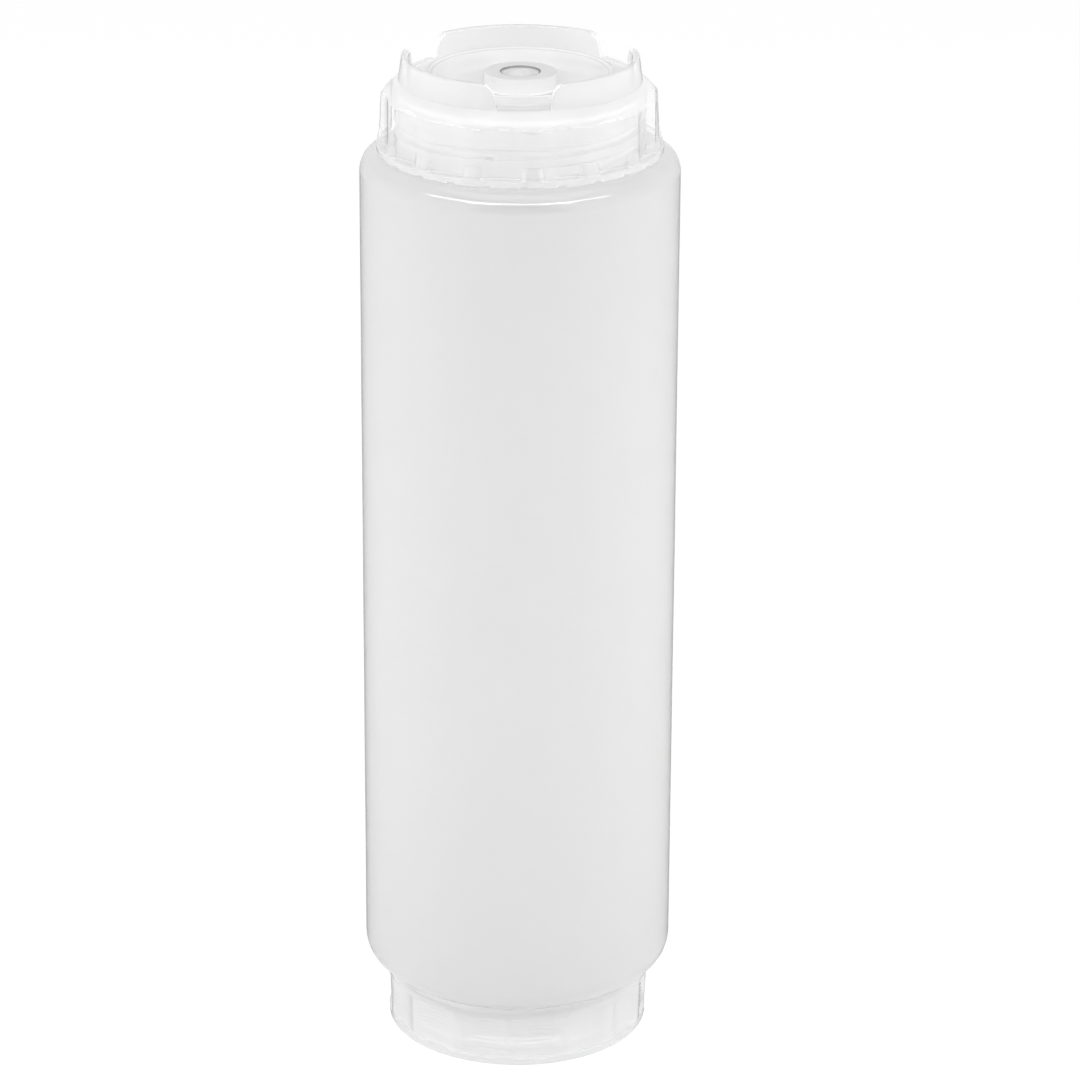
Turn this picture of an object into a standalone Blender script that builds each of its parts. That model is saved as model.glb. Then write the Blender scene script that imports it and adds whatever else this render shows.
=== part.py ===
"""Two-ended squeeze bottle for sauces, standing on its refill cap.

Metres, +Z up, origin at the centre of the foot. The dispensing end points up and -Y is the front.
Each end is drawn in its own frame, whose +Z points out of the bottle and whose origin lies on the
plane where the neck leaves the shoulder. The refill end is that frame turned half a turn about X.
"""
import math

import bmesh
import bpy
from mathutils import Matrix, Vector

# Shared fits
SEAT_GAP = 0.0003
OVERRUN = 0.002
EDGE_ROUND = 0.0003
MERGE = 0.00001
TURN_SEGMENTS = 44
THREAD_SEGMENTS = 30
SEAL_SEGMENTS = 30
SMALL_SEGMENTS = 20
SHARP_ANGLE = math.radians(32)

# Bottle body
BODY_RADIUS = 0.0350
BODY_LENGTH = 0.1930
BODY_WALL = 0.0011
TOP_SHOULDER_RADIUS = 0.0045
LOW_SHOULDER_RADIUS = 0.0063
SHOULDER_POINTS = 6
SHOULDER_INNER_POINTS = 4

# Necks, alike at both ends but for their length
NECK_BORE_RADIUS = 0.0244
NECK_WALL = 0.0013
NECK_FILLET = 0.0008
LIP_ROUND = 0.0004
TOP_THREAD_TURNS = 1.6
TOP_NECK_RELIEF = 0.0017
LOW_THREAD_TURNS = 1.4
LOW_NECK_RELIEF = 0.0011

# Screw thread, one start, right-handed
THREAD_PITCH = 0.0042
THREAD_HEIGHT = 0.0013
THREAD_ROOT_WIDTH = 0.0023
THREAD_CREST_WIDTH = 0.0011
THREAD_LEAD_IN = 0.0010
THREAD_EMBED = 0.0004
THREAD_FADE_SEGMENTS = 3
THREAD_FADE_SHARE = 0.12
TOP_CAP_THREAD_TURNS = 1.5
LOW_CAP_THREAD_TURNS = 1.25

# Flat sealing rings between lip and cap
SEAL_THICKNESS = 0.0015
SEAL_MARGIN = 0.0005
SEAL_BEAD = 0.0003

# What both caps share
CAP_PLUG_WALL = 0.0011
CAP_PLUG_DEPTH = 0.0022
CAP_CORNER = 0.0008
GRIP_COUNT = 15
SCOOP_RADIUS = 0.0176
SCOOP_HALF_ANGLE = math.radians(8)
SCOOP_STEPS = 5
RIM_GAP = 0.0003

# Dispensing cap: skirt, shoulder and rim
TOP_SKIRT_WALL = 0.0029
TOP_SKIRT_FLARE = 0.00035
TOP_SCOOP_DEPTH = 0.00095
TOP_GRIP_AZIMUTH = math.radians(5.1)
RIM_STEP = 0.00105
RIM_HEIGHT = 0.0015
RIM_FLARE_HEIGHT = 0.0027
CHAMFER_WIDTH = 0.0038
CHAMFER_HEIGHT = 0.0033
CHAMFER_BULGE = 0.0007
CHAMFER_POINTS = 4

# Dispensing cap: deck, raised ring, dish and nozzle boss
DECK_THICKNESS = 0.0018
CHANNEL_WIDTH = 0.0040
RING_WIDTH = 0.0011
RING_HEIGHT = 0.0020
DISH_SLOPE_WIDTH = 0.0047
DISH_DEPTH = 0.0014
DISH_POINTS = 3
BOSS_WALL = 0.0014
BOSS_DRAFT = 0.0004
BOSS_HEIGHT = 0.0019
BOSS_TUBE_LENGTH = 0.0024
BOSS_TUBE_WALL = 0.0017
ORIFICE_LEDGE = 0.0024
ORIFICE_CEILING = 0.0011
ORIFICE_FUNNEL = 0.0006
ORIFICE_FLARE = 0.0012

# Dispensing cap: three arched legs
LEG_COUNT = 3
LEG_AZIMUTH = math.radians(1.5)
LEG_HEIGHT = 0.0056
LEG_WALL = 0.0018
LEG_TAPER = 0.0007
LEG_SILL = 0.00025
LEG_CORNER_RADIUS = 0.0020
LEG_CORNER_STEPS = 4
GAP_FLOOR_HALF = 0.0053
GAP_TOP_HALF = 0.0084

# Slit valve and the ring that holds it
POCKET_RADIUS = 0.0065
VALVE_FLANGE = 0.0014
VALVE_WALL = 0.0007
VALVE_HEAD_THICKNESS = 0.0006
VALVE_DISH_DEPTH = 0.0008
VALVE_HEAD_POINTS = 4
VALVE_SLIT_WIDTH = 0.00025
VALVE_SLIT_SHARE = 0.8
VALVE_SLIT_ARMS = 4
RETAINER_WALL = 0.0016
RETAINER_BEAD = 0.00055
RETAINER_BEAD_HEIGHT = 0.0010
RETAINER_FLANGE = 0.0012

# Refill cap
REFILL_SKIRT_WALL = 0.0029
REFILL_TAPER = 0.0006
REFILL_SCOOP_DEPTH = 0.0015
REFILL_GRIP_AZIMUTH = math.radians(-3.1)
REFILL_END_WALL = 0.0016
REFILL_BAND_HEIGHT = 0.0027
REFILL_FOOT_HEIGHT = 0.0018
FOOT_RECESS_DEPTH = 0.0008
FOOT_WIDTH = 0.0046
FOOT_ROUND = 0.0004

# Sizes that follow from those above
NECK_RADIUS = NECK_BORE_RADIUS + NECK_WALL
THREAD_CREST_RADIUS = NECK_RADIUS + THREAD_HEIGHT
CAP_BORE_RADIUS = THREAD_CREST_RADIUS + SEAT_GAP
CAP_THREAD_CREST_RADIUS = NECK_RADIUS + SEAT_GAP
TOP_GRIP_RADIUS = CAP_BORE_RADIUS + TOP_SKIRT_WALL
TOP_SCOOP_FLOOR_RADIUS = TOP_GRIP_RADIUS - TOP_SCOOP_DEPTH
RIM_RADIUS = TOP_GRIP_RADIUS + RIM_STEP
REFILL_RIM_RADIUS = CAP_BORE_RADIUS + REFILL_SKIRT_WALL
REFILL_SCOOP_FLOOR_RADIUS = REFILL_RIM_RADIUS - REFILL_SCOOP_DEPTH
REFILL_FOOT_RADIUS = REFILL_RIM_RADIUS - REFILL_TAPER
FOOT_RECESS_RADIUS = REFILL_FOOT_RADIUS - FOOT_WIDTH
LEG_BASE_RADIUS = TOP_GRIP_RADIUS - CHAMFER_WIDTH
RING_RADIUS = LEG_BASE_RADIUS - LEG_WALL - CHANNEL_WIDTH
DISH_RADIUS = RING_RADIUS - RING_WIDTH - DISH_SLOPE_WIDTH
BOSS_RADIUS = POCKET_RADIUS + BOSS_WALL
ORIFICE_RADIUS = POCKET_RADIUS - ORIFICE_LEDGE
TOP_NECK_LENGTH = THREAD_LEAD_IN + THREAD_ROOT_WIDTH + TOP_THREAD_TURNS * THREAD_PITCH + TOP_NECK_RELIEF
LOW_NECK_LENGTH = THREAD_LEAD_IN + THREAD_ROOT_WIDTH + LOW_THREAD_TURNS * THREAD_PITCH + LOW_NECK_RELIEF
SEAL_INNER_RADIUS = NECK_BORE_RADIUS - SEAL_MARGIN
SEAL_OUTER_RADIUS = NECK_RADIUS + SEAL_MARGIN
PLUG_RADIUS = SEAL_INNER_RADIUS - SEAT_GAP
SEAL_STACK = SEAL_THICKNESS + 2 * SEAT_GAP
TOP_ROOF = TOP_NECK_LENGTH + SEAL_STACK
LOW_ROOF = LOW_NECK_LENGTH + SEAL_STACK
LOW_END = LOW_ROOF + REFILL_END_WALL + FOOT_RECESS_DEPTH
DECK_TOP = TOP_ROOF + DECK_THICKNESS
DISH_FLOOR = DECK_TOP - DISH_DEPTH
DISH_CEILING = DISH_FLOOR - DECK_THICKNESS + EDGE_ROUND
BOSS_TOP = DECK_TOP + BOSS_HEIGHT
POCKET_CEILING = BOSS_TOP - ORIFICE_FUNNEL - ORIFICE_CEILING
BOSS_TUBE_RADIUS = POCKET_RADIUS + BOSS_TUBE_WALL
BOSS_TUBE_END = DISH_CEILING - BOSS_TUBE_LENGTH
VALVE_TOP = POCKET_CEILING - SEAT_GAP
VALVE_BASE = VALVE_TOP - VALVE_FLANGE
RETAINER_TOP = VALVE_BASE - SEAT_GAP
RETAINER_SEAT = BOSS_TUBE_END - SEAT_GAP
RETAINER_RADIUS = POCKET_RADIUS - SEAT_GAP
BEAD_MIDDLE = (RETAINER_TOP + RETAINER_SEAT) / 2

# Frames of the two ends: where each neck leaves the body
LOW_PLANE = LOW_END
TOP_PLANE = LOW_PLANE + BODY_LENGTH
TOP_FRAME = Matrix.Translation((0, 0, TOP_PLANE))
LOW_FRAME = Matrix.Translation((0, 0, LOW_PLANE)) @ Matrix.Rotation(math.pi, 4, "X")


def clear_scene():
    for item in list(bpy.data.objects):
        bpy.data.objects.remove(item, do_unlink=True)


def new_collection(name):
    group = bpy.data.collections.new(name)
    bpy.context.scene.collection.children.link(group)
    return group


def new_material(name, colour, roughness, alpha):
    material = bpy.data.materials.new(name)
    material.use_nodes = True
    shader = material.node_tree.nodes["Principled BSDF"]
    shader.inputs["Base Color"].default_value = (*colour, 1)
    shader.inputs["Roughness"].default_value = roughness
    shader.inputs["Metallic"].default_value = 0
    shader.inputs["Alpha"].default_value = alpha
    material.diffuse_color = (*colour, 1)
    return material


def arc(centre, radius, start, end, count):
    """Points of an arc about a centre (radius, height), from one angle in degrees to the other."""
    points = []
    for index in range(count):
        angle = math.radians(start + (end - start) * index / (count - 1))
        points.append((centre[0] + radius * math.cos(angle), centre[1] + radius * math.sin(angle)))
    return points


def lifted(points, height):
    return [(radius, z + height) for radius, z in points]


def turned(name, profile, segments, group, material=None):
    """A solid of revolution from an outline that runs down its outer side and closes or meets the axis."""
    mesh = bpy.data.meshes.new(name)
    vertices = [(radius, 0, height) for radius, height in profile]
    edges = [(index, index + 1) for index in range(len(profile) - 1)]
    if profile[0][0] > 0:
        edges.append((len(profile) - 1, 0))
    mesh.from_pydata(vertices, edges, [])
    solid = bpy.data.objects.new(name, mesh)
    group.objects.link(solid)
    if material:
        mesh.materials.append(material)
    screw = solid.modifiers.new("turned", "SCREW")
    screw.axis = "Z"
    screw.angle = 2 * math.pi
    screw.steps = segments
    screw.render_steps = segments
    screw.use_merge_vertices = True
    screw.merge_threshold = MERGE
    screw.use_smooth_shade = True
    return solid


def mark_tool(solid):
    solid.hide_render = True
    solid.display_type = "WIRE"


def outlined(name, outlines, depth, frame, group):
    """A prism from flat outlines, centred on its frame's XY plane; a second outline is a hole."""
    curve = bpy.data.curves.new(name, "CURVE")
    curve.dimensions = "2D"
    curve.fill_mode = "BOTH"
    curve.extrude = depth / 2
    for outline in outlines:
        spline = curve.splines.new("POLY")
        spline.points.add(len(outline) - 1)
        for point, (x, y) in zip(spline.points, outline):
            point.co = (x, y, 0, 1)
        spline.use_cyclic_u = True
    guide = bpy.data.objects.new(name + "_guide", curve)
    bpy.context.scene.collection.objects.link(guide)
    bpy.context.view_layer.update()
    depsgraph = bpy.context.evaluated_depsgraph_get()
    mesh = bpy.data.meshes.new_from_object(guide.evaluated_get(depsgraph))
    bpy.data.objects.remove(guide, do_unlink=True)
    shape = bmesh.new()
    shape.from_mesh(mesh)
    bmesh.ops.remove_doubles(shape, verts=shape.verts, dist=MERGE)
    bmesh.ops.recalc_face_normals(shape, faces=shape.faces)
    shape.to_mesh(mesh)
    shape.free()
    solid = bpy.data.objects.new(name, mesh)
    group.objects.link(solid)
    solid.matrix_world = frame
    mark_tool(solid)
    return solid


def combine(solid, other, operation):
    boolean = solid.modifiers.new(operation.lower(), "BOOLEAN")
    boolean.operation = operation
    boolean.solver = "EXACT"
    boolean.object = other


def finish(solid):
    """Round faces shaded smooth, with the real edges kept crisp."""
    bpy.context.view_layer.update()
    depsgraph = bpy.context.evaluated_depsgraph_get()
    mesh = bpy.data.meshes.new_from_object(solid.evaluated_get(depsgraph))
    mesh.name = solid.name
    shape = bmesh.new()
    shape.from_mesh(mesh)
    bmesh.ops.triangulate(shape, faces=[face for face in shape.faces if len(face.verts) > 4])
    shape.to_mesh(mesh)
    shape.free()
    solid.modifiers.clear()
    solid.data = mesh
    mesh.shade_smooth()
    mesh.set_sharp_from_angle(angle=SHARP_ANGLE)


def helix_step(height, start_height):
    """The turn, in whole segments, at which a thread that starts at start_height reaches height."""
    turns = (height - start_height) / THREAD_PITCH
    return round(turns * THREAD_SEGMENTS)


def thread(name, root_radius, crest_radius, top_height, top_step, turns, frame, group):
    """A helical ridge from its outermost point down; both ends fade into the wall that carries it."""
    steps = round(turns * THREAD_SEGMENTS)
    inward = math.copysign(1, root_radius - crest_radius)
    shape = bmesh.new()
    rings = []
    for step in range(steps + 1):
        angle = 2 * math.pi * (top_step - step + 1 / 2) / THREAD_SEGMENTS
        height = top_height - THREAD_PITCH * step / THREAD_SEGMENTS
        end_steps = min(step, steps - step)
        rise = min(1, THREAD_FADE_SHARE + (1 - THREAD_FADE_SHARE) * end_steps / THREAD_FADE_SEGMENTS)
        slope = (THREAD_ROOT_WIDTH - THREAD_CREST_WIDTH) / THREAD_HEIGHT / 2
        root = root_radius + inward * THREAD_EMBED
        crest = root_radius + (crest_radius - root_radius) * rise
        root_half = THREAD_ROOT_WIDTH / 2 + slope * THREAD_EMBED
        crest_half = THREAD_ROOT_WIDTH / 2 - slope * THREAD_HEIGHT * rise
        section = ((root, root_half), (crest, crest_half), (crest, -crest_half), (root, -root_half))
        ring = []
        for radius, offset in section:
            place = Vector((radius * math.cos(angle), radius * math.sin(angle), height + offset))
            ring.append(shape.verts.new(place))
        rings.append(ring)
    for upper, lower in zip(rings, rings[1:]):
        for index in range(len(upper)):
            following = (index + 1) % len(upper)
            shape.faces.new((upper[index], upper[following], lower[following], lower[index]))
    shape.faces.new(rings[0])
    shape.faces.new(rings[-1])
    bmesh.ops.recalc_face_normals(shape, faces=shape.faces)
    mesh = bpy.data.meshes.new(name)
    shape.to_mesh(mesh)
    shape.free()
    solid = bpy.data.objects.new(name, mesh)
    group.objects.link(solid)
    solid.matrix_world = frame
    mark_tool(solid)
    return solid


def neck_thread_top(neck_length):
    return neck_length - THREAD_LEAD_IN - THREAD_ROOT_WIDTH / 2


def flank_offset():
    """How far the cap's thread sits behind the neck's, with the pulled flanks one gap apart."""
    slope = (THREAD_ROOT_WIDTH - THREAD_CREST_WIDTH) / THREAD_HEIGHT
    widths = (THREAD_ROOT_WIDTH + THREAD_CREST_WIDTH - slope * SEAT_GAP) / 2
    return widths + SEAT_GAP * math.hypot(1, slope / 2)


def neck_thread(name, neck_length, turns, frame, group):
    top = neck_thread_top(neck_length)
    return thread(name, NECK_RADIUS, THREAD_CREST_RADIUS, top, 0, turns, frame, group)


def cap_thread(name, neck_length, turns, frame, group):
    """The cap's own thread: its low end lies just inside the rim, in step with the neck's thread."""
    low = RIM_GAP + THREAD_LEAD_IN + THREAD_ROOT_WIDTH / 2
    top_target = low + turns * THREAD_PITCH
    step = helix_step(top_target, neck_thread_top(neck_length) - flank_offset())
    top = neck_thread_top(neck_length) - flank_offset() + step * THREAD_PITCH / THREAD_SEGMENTS
    return thread(name, CAP_BORE_RADIUS, CAP_THREAD_CREST_RADIUS, top, step, turns, frame, group)


def neck_outline(neck_length):
    """The outer side of a neck in its end's frame, from its lip to its fillet at the shoulder."""
    return [
        (NECK_RADIUS - LIP_ROUND, neck_length),
        (NECK_RADIUS, neck_length - LIP_ROUND),
        (NECK_RADIUS, NECK_FILLET),
        (NECK_RADIUS + NECK_FILLET, 0),
    ]


def flipped(points, height):
    """An end's outline carried to the refill end and run the other way."""
    return [(radius, height - z) for radius, z in reversed(points)]


def shoulder(radius, wall, count):
    """A shoulder in its end's frame, from the flat by the neck round to the straight side."""
    centre = (BODY_RADIUS - radius, -radius)
    return arc(centre, radius - wall, 90, 0, count)


def body_profile():
    outer = lifted(neck_outline(TOP_NECK_LENGTH), TOP_PLANE)
    outer += lifted(shoulder(TOP_SHOULDER_RADIUS, 0, SHOULDER_POINTS), TOP_PLANE)
    outer += flipped(shoulder(LOW_SHOULDER_RADIUS, 0, SHOULDER_POINTS + 1), LOW_PLANE)
    outer += flipped(neck_outline(LOW_NECK_LENGTH), LOW_PLANE)
    inner_top = [(NECK_BORE_RADIUS, TOP_NECK_LENGTH), (NECK_BORE_RADIUS, -BODY_WALL)]
    inner_low = [(NECK_BORE_RADIUS, LOW_NECK_LENGTH), (NECK_BORE_RADIUS, -BODY_WALL)]
    top = lifted(inner_top + shoulder(TOP_SHOULDER_RADIUS, BODY_WALL, SHOULDER_INNER_POINTS), TOP_PLANE)
    low = flipped(inner_low + shoulder(LOW_SHOULDER_RADIUS, BODY_WALL, SHOULDER_INNER_POINTS), LOW_PLANE)
    return outer + list(reversed(top + low))


def make_body(parts, tools, plastic):
    body = turned("bottle_body", body_profile(), TURN_SEGMENTS, parts, plastic)
    top = neck_thread("neck_thread_top", TOP_NECK_LENGTH, TOP_THREAD_TURNS, TOP_FRAME, tools)
    low = neck_thread("neck_thread_low", LOW_NECK_LENGTH, LOW_THREAD_TURNS, LOW_FRAME, tools)
    combine(body, top, "UNION")
    combine(body, low, "UNION")
    finish(body)
    return body


def seal_profile(neck_length):
    """A flat ring with one raised bead on the lip side, just outside the end of the neck."""
    low = neck_length + SEAT_GAP
    high = low + SEAL_THICKNESS
    middle = (SEAL_INNER_RADIUS + SEAL_OUTER_RADIUS) / 2
    return [
        (SEAL_INNER_RADIUS + EDGE_ROUND, high),
        (SEAL_OUTER_RADIUS - EDGE_ROUND, high),
        (SEAL_OUTER_RADIUS, high - EDGE_ROUND),
        (SEAL_OUTER_RADIUS, low + SEAL_BEAD),
        (middle + SEAL_BEAD, low + SEAL_BEAD),
        (middle, low),
        (middle - SEAL_BEAD, low + SEAL_BEAD),
        (SEAL_INNER_RADIUS, low + SEAL_BEAD),
        (SEAL_INNER_RADIUS, high - EDGE_ROUND),
    ]


def make_seal(name, neck_length, frame, parts, rubber):
    seal = turned(name, seal_profile(neck_length), SEAL_SEGMENTS, parts, rubber)
    seal.matrix_world = frame
    finish(seal)
    return seal


def scoop_ring(floor_radius, outer_radius, azimuth):
    """The inner outline of a grip cutter: concave scoops between proud lands, one land at azimuth."""
    reach = outer_radius + OVERRUN
    centre = floor_radius + SCOOP_RADIUS
    points = []
    for scoop in range(GRIP_COUNT):
        middle = azimuth + 2 * math.pi * (scoop + 1 / 2) / GRIP_COUNT
        arch = []
        for step in range(SCOOP_STEPS + 1):
            turn = SCOOP_HALF_ANGLE * (2 * step / SCOOP_STEPS - 1)
            chord = math.sqrt(SCOOP_RADIUS ** 2 - (centre * math.sin(turn)) ** 2)
            arch.append((centre * math.cos(turn) - chord, turn))
        sides = [(reach, -SCOOP_HALF_ANGLE)] + arch + [(reach, SCOOP_HALF_ANGLE)]
        points += [(r * math.cos(middle + turn), r * math.sin(middle + turn)) for r, turn in sides]
    return points


def make_grip_cutter(name, floor_radius, outer_radius, low, high, azimuth, frame, tools):
    inner = scoop_ring(floor_radius, outer_radius, azimuth)
    outer = arc((0, 0), outer_radius + 3 * OVERRUN, 0, 360, TURN_SEGMENTS + 1)[:-1]
    place = frame @ Matrix.Translation((0, 0, (low + high) / 2))
    return outlined(name, [outer, inner], high - low, place, tools)


def deck_underside():
    """From the skirt's top inner corner in to the boss tube."""
    return [
        (CAP_BORE_RADIUS, RIM_GAP + EDGE_ROUND),
        (CAP_BORE_RADIUS, TOP_ROOF - CAP_CORNER),
        (CAP_BORE_RADIUS - CAP_CORNER, TOP_ROOF),
        (PLUG_RADIUS, TOP_ROOF),
        (PLUG_RADIUS - EDGE_ROUND, TOP_ROOF - CAP_PLUG_DEPTH),
        (PLUG_RADIUS - CAP_PLUG_WALL, TOP_ROOF - CAP_PLUG_DEPTH),
        (PLUG_RADIUS - CAP_PLUG_WALL, TOP_ROOF),
        (RING_RADIUS - RING_WIDTH, TOP_ROOF),
        (DISH_RADIUS, DISH_CEILING),
        (BOSS_TUBE_RADIUS, DISH_CEILING),
    ]


def boss_inside():
    """Down the boss tube, up its pocket past the snap groove, and out through the orifice."""
    groove_radius = RETAINER_RADIUS + RETAINER_BEAD + SEAT_GAP
    groove_half = RETAINER_BEAD_HEIGHT / 2 + SEAT_GAP
    return [
        (BOSS_TUBE_RADIUS, BOSS_TUBE_END),
        (POCKET_RADIUS, BOSS_TUBE_END),
        (POCKET_RADIUS, BEAD_MIDDLE - groove_half - RETAINER_BEAD),
        (groove_radius, BEAD_MIDDLE - groove_half),
        (groove_radius, BEAD_MIDDLE + groove_half),
        (POCKET_RADIUS, BEAD_MIDDLE + groove_half + RETAINER_BEAD),
        (POCKET_RADIUS, POCKET_CEILING),
        (ORIFICE_RADIUS, POCKET_CEILING),
        (ORIFICE_RADIUS, BOSS_TOP - ORIFICE_FUNNEL),
        (ORIFICE_RADIUS + ORIFICE_FLARE, BOSS_TOP),
    ]


def dish_slope():
    """The dish's bowl, from its flat floor up to the raised ring, easing in and out."""
    start = (DISH_RADIUS, DISH_FLOOR)
    end = (RING_RADIUS - RING_WIDTH, DECK_TOP + RING_HEIGHT - EDGE_ROUND)
    points = []
    for index in range(DISH_POINTS + 1):
        share = index / DISH_POINTS
        ease = (1 - math.cos(math.pi * share)) / 2
        points.append((start[0] + (end[0] - start[0]) * share, start[1] + (end[1] - start[1]) * ease))
    return points


def deck_top():
    """Over the boss, the dish and the raised ring, out to the foot of the legs."""
    leg_inner = LEG_BASE_RADIUS - LEG_WALL
    ring_top = DECK_TOP + RING_HEIGHT
    return [
        (BOSS_RADIUS - EDGE_ROUND, BOSS_TOP),
        (BOSS_RADIUS, BOSS_TOP - EDGE_ROUND),
        (BOSS_RADIUS + BOSS_DRAFT, DISH_FLOOR),
    ] + dish_slope() + [
        (RING_RADIUS - RING_WIDTH + EDGE_ROUND, ring_top),
        (RING_RADIUS - EDGE_ROUND, ring_top),
        (RING_RADIUS, ring_top - EDGE_ROUND),
        (RING_RADIUS + EDGE_ROUND, DECK_TOP),
        (leg_inner, DECK_TOP),
    ]


def leg_section():
    """Up the inside of the leg ring, over its top and down its outside."""
    top = DECK_TOP + LEG_HEIGHT
    outer = LEG_BASE_RADIUS - LEG_TAPER
    inner = outer - LEG_WALL + EDGE_ROUND
    return [
        (inner, top - EDGE_ROUND),
        (inner + EDGE_ROUND, top),
        (outer - EDGE_ROUND, top),
        (outer, top - EDGE_ROUND),
        (LEG_BASE_RADIUS, DECK_TOP + LEG_SILL),
    ]


def cap_outside():
    """From the foot of the legs over the bulging chamfer, down the skirt and under the rim."""
    points = []
    for index in range(CHAMFER_POINTS):
        share = index / (CHAMFER_POINTS - 1)
        bulge = CHAMFER_BULGE * math.sin(math.pi * share)
        radius = LEG_BASE_RADIUS + EDGE_ROUND + (TOP_GRIP_RADIUS - LEG_BASE_RADIUS - EDGE_ROUND) * share
        points.append((radius + bulge, DECK_TOP - CHAMFER_HEIGHT * share + bulge))
    skirt_low = TOP_GRIP_RADIUS + TOP_SKIRT_FLARE
    rim_top = RIM_GAP + RIM_HEIGHT
    points += [
        (skirt_low, rim_top + RIM_FLARE_HEIGHT),
        (RIM_RADIUS - EDGE_ROUND / 2, rim_top + EDGE_ROUND * 2),
        (RIM_RADIUS, rim_top),
        (RIM_RADIUS, RIM_GAP + EDGE_ROUND),
        (RIM_RADIUS - EDGE_ROUND, RIM_GAP),
        (CAP_BORE_RADIUS + EDGE_ROUND, RIM_GAP),
    ]
    return points


def gap_outline():
    """The opening between two legs, seen from outside: slanted ends and rounded top corners."""
    floor = (GAP_FLOOR_HALF, DECK_TOP + LEG_SILL)
    top = DECK_TOP + LEG_HEIGHT
    centre = (GAP_TOP_HALF, top - LEG_CORNER_RADIUS)
    across = centre[0] - floor[0]
    rise = centre[1] - floor[1]
    tangent = math.atan2(rise, across) + math.asin(LEG_CORNER_RADIUS / math.hypot(across, rise))
    start = math.degrees(tangent) + 90
    corner = arc(centre, LEG_CORNER_RADIUS, start, 90, LEG_CORNER_STEPS + 1)
    half = [floor] + corner + [(GAP_TOP_HALF, top + OVERRUN)]
    return half + [(-x, z) for x, z in reversed(half)]


def make_gap_cutter(index, tools):
    azimuth = LEG_AZIMUTH + 2 * math.pi * index / LEG_COUNT
    depth = LEG_WALL + 2 * OVERRUN
    middle = LEG_BASE_RADIUS - LEG_WALL / 2
    upright = Matrix.Rotation(math.pi / 2, 4, "X")
    place = Matrix.Rotation(azimuth, 4, "Z") @ Matrix.Translation((0, -middle, 0)) @ upright
    return outlined(f"leg_gap_{index}", [gap_outline()], depth, TOP_FRAME @ place, tools)


def make_dispensing_cap(parts, tools, plastic):
    profile = leg_section() + cap_outside() + deck_underside() + boss_inside() + deck_top()
    cap = turned("dispensing_cap", profile, TURN_SEGMENTS, parts, plastic)
    cap.matrix_world = TOP_FRAME
    ridge = cap_thread("cap_thread_top", TOP_NECK_LENGTH, TOP_CAP_THREAD_TURNS, TOP_FRAME, tools)
    combine(cap, ridge, "UNION")
    rim_top = RIM_GAP + RIM_HEIGHT
    azimuth = TOP_GRIP_AZIMUTH - math.pi / 2
    grip = make_grip_cutter(
        "grip_cutter_top", TOP_SCOOP_FLOOR_RADIUS, RIM_RADIUS, rim_top, DECK_TOP + OVERRUN,
        azimuth, TOP_FRAME, tools,
    )
    combine(cap, grip, "DIFFERENCE")
    for index in range(LEG_COUNT):
        combine(cap, make_gap_cutter(index, tools), "DIFFERENCE")
    finish(cap)
    return cap


def valve_profile():
    """Flange, side wall and a head dished towards the bottle."""
    outer = ORIFICE_RADIUS - SEAT_GAP
    inner = outer - VALVE_WALL
    flange_outer = POCKET_RADIUS - SEAT_GAP
    rim = BOSS_TOP - ORIFICE_FUNNEL
    top_dish = []
    low_dish = []
    for index in range(VALVE_HEAD_POINTS):
        share = 1 - index / VALVE_HEAD_POINTS
        sag = VALVE_DISH_DEPTH * (1 - share ** 2)
        top_dish.append((inner * share, rim - sag))
        low_dish.append((inner * share, rim - sag - VALVE_HEAD_THICKNESS))
    return top_dish, low_dish, [
        (outer - EDGE_ROUND, rim),
        (outer, rim - EDGE_ROUND),
        (outer, VALVE_TOP),
        (flange_outer - EDGE_ROUND, VALVE_TOP),
        (flange_outer, VALVE_TOP - EDGE_ROUND),
        (flange_outer, VALVE_BASE + EDGE_ROUND),
        (flange_outer - EDGE_ROUND, VALVE_BASE),
        (inner, VALVE_BASE),
    ]


def make_valve(parts, tools, rubber):
    top_dish, low_dish, side = valve_profile()
    rim = top_dish[0][1]
    centre = [(0, rim - VALVE_DISH_DEPTH), (0, rim - VALVE_DISH_DEPTH - VALVE_HEAD_THICKNESS)]
    profile = [centre[0]] + list(reversed(top_dish)) + side + low_dish + [centre[1]]
    valve = turned("dispensing_valve", profile, SMALL_SEGMENTS, parts, rubber)
    valve.matrix_world = TOP_FRAME
    slit = 2 * VALVE_SLIT_SHARE * (ORIFICE_RADIUS - SEAT_GAP - VALVE_WALL)
    depth = VALVE_DISH_DEPTH + VALVE_HEAD_THICKNESS + 2 * OVERRUN
    middle = rim - VALVE_DISH_DEPTH / 2
    place = TOP_FRAME @ Matrix.Translation((0, 0, middle))
    arm = slit / 2
    half = VALVE_SLIT_WIDTH / 2
    quarter = [(half, half), (half, arm), (-half, arm)]
    cross = []
    for turn in range(VALVE_SLIT_ARMS):
        spin = Matrix.Rotation(2 * math.pi * turn / VALVE_SLIT_ARMS, 2)
        cross += [tuple(spin @ Vector(point)) for point in quarter]
    combine(valve, outlined("valve_slits", [cross], depth, place, tools), "DIFFERENCE")
    finish(valve)
    return valve


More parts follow.
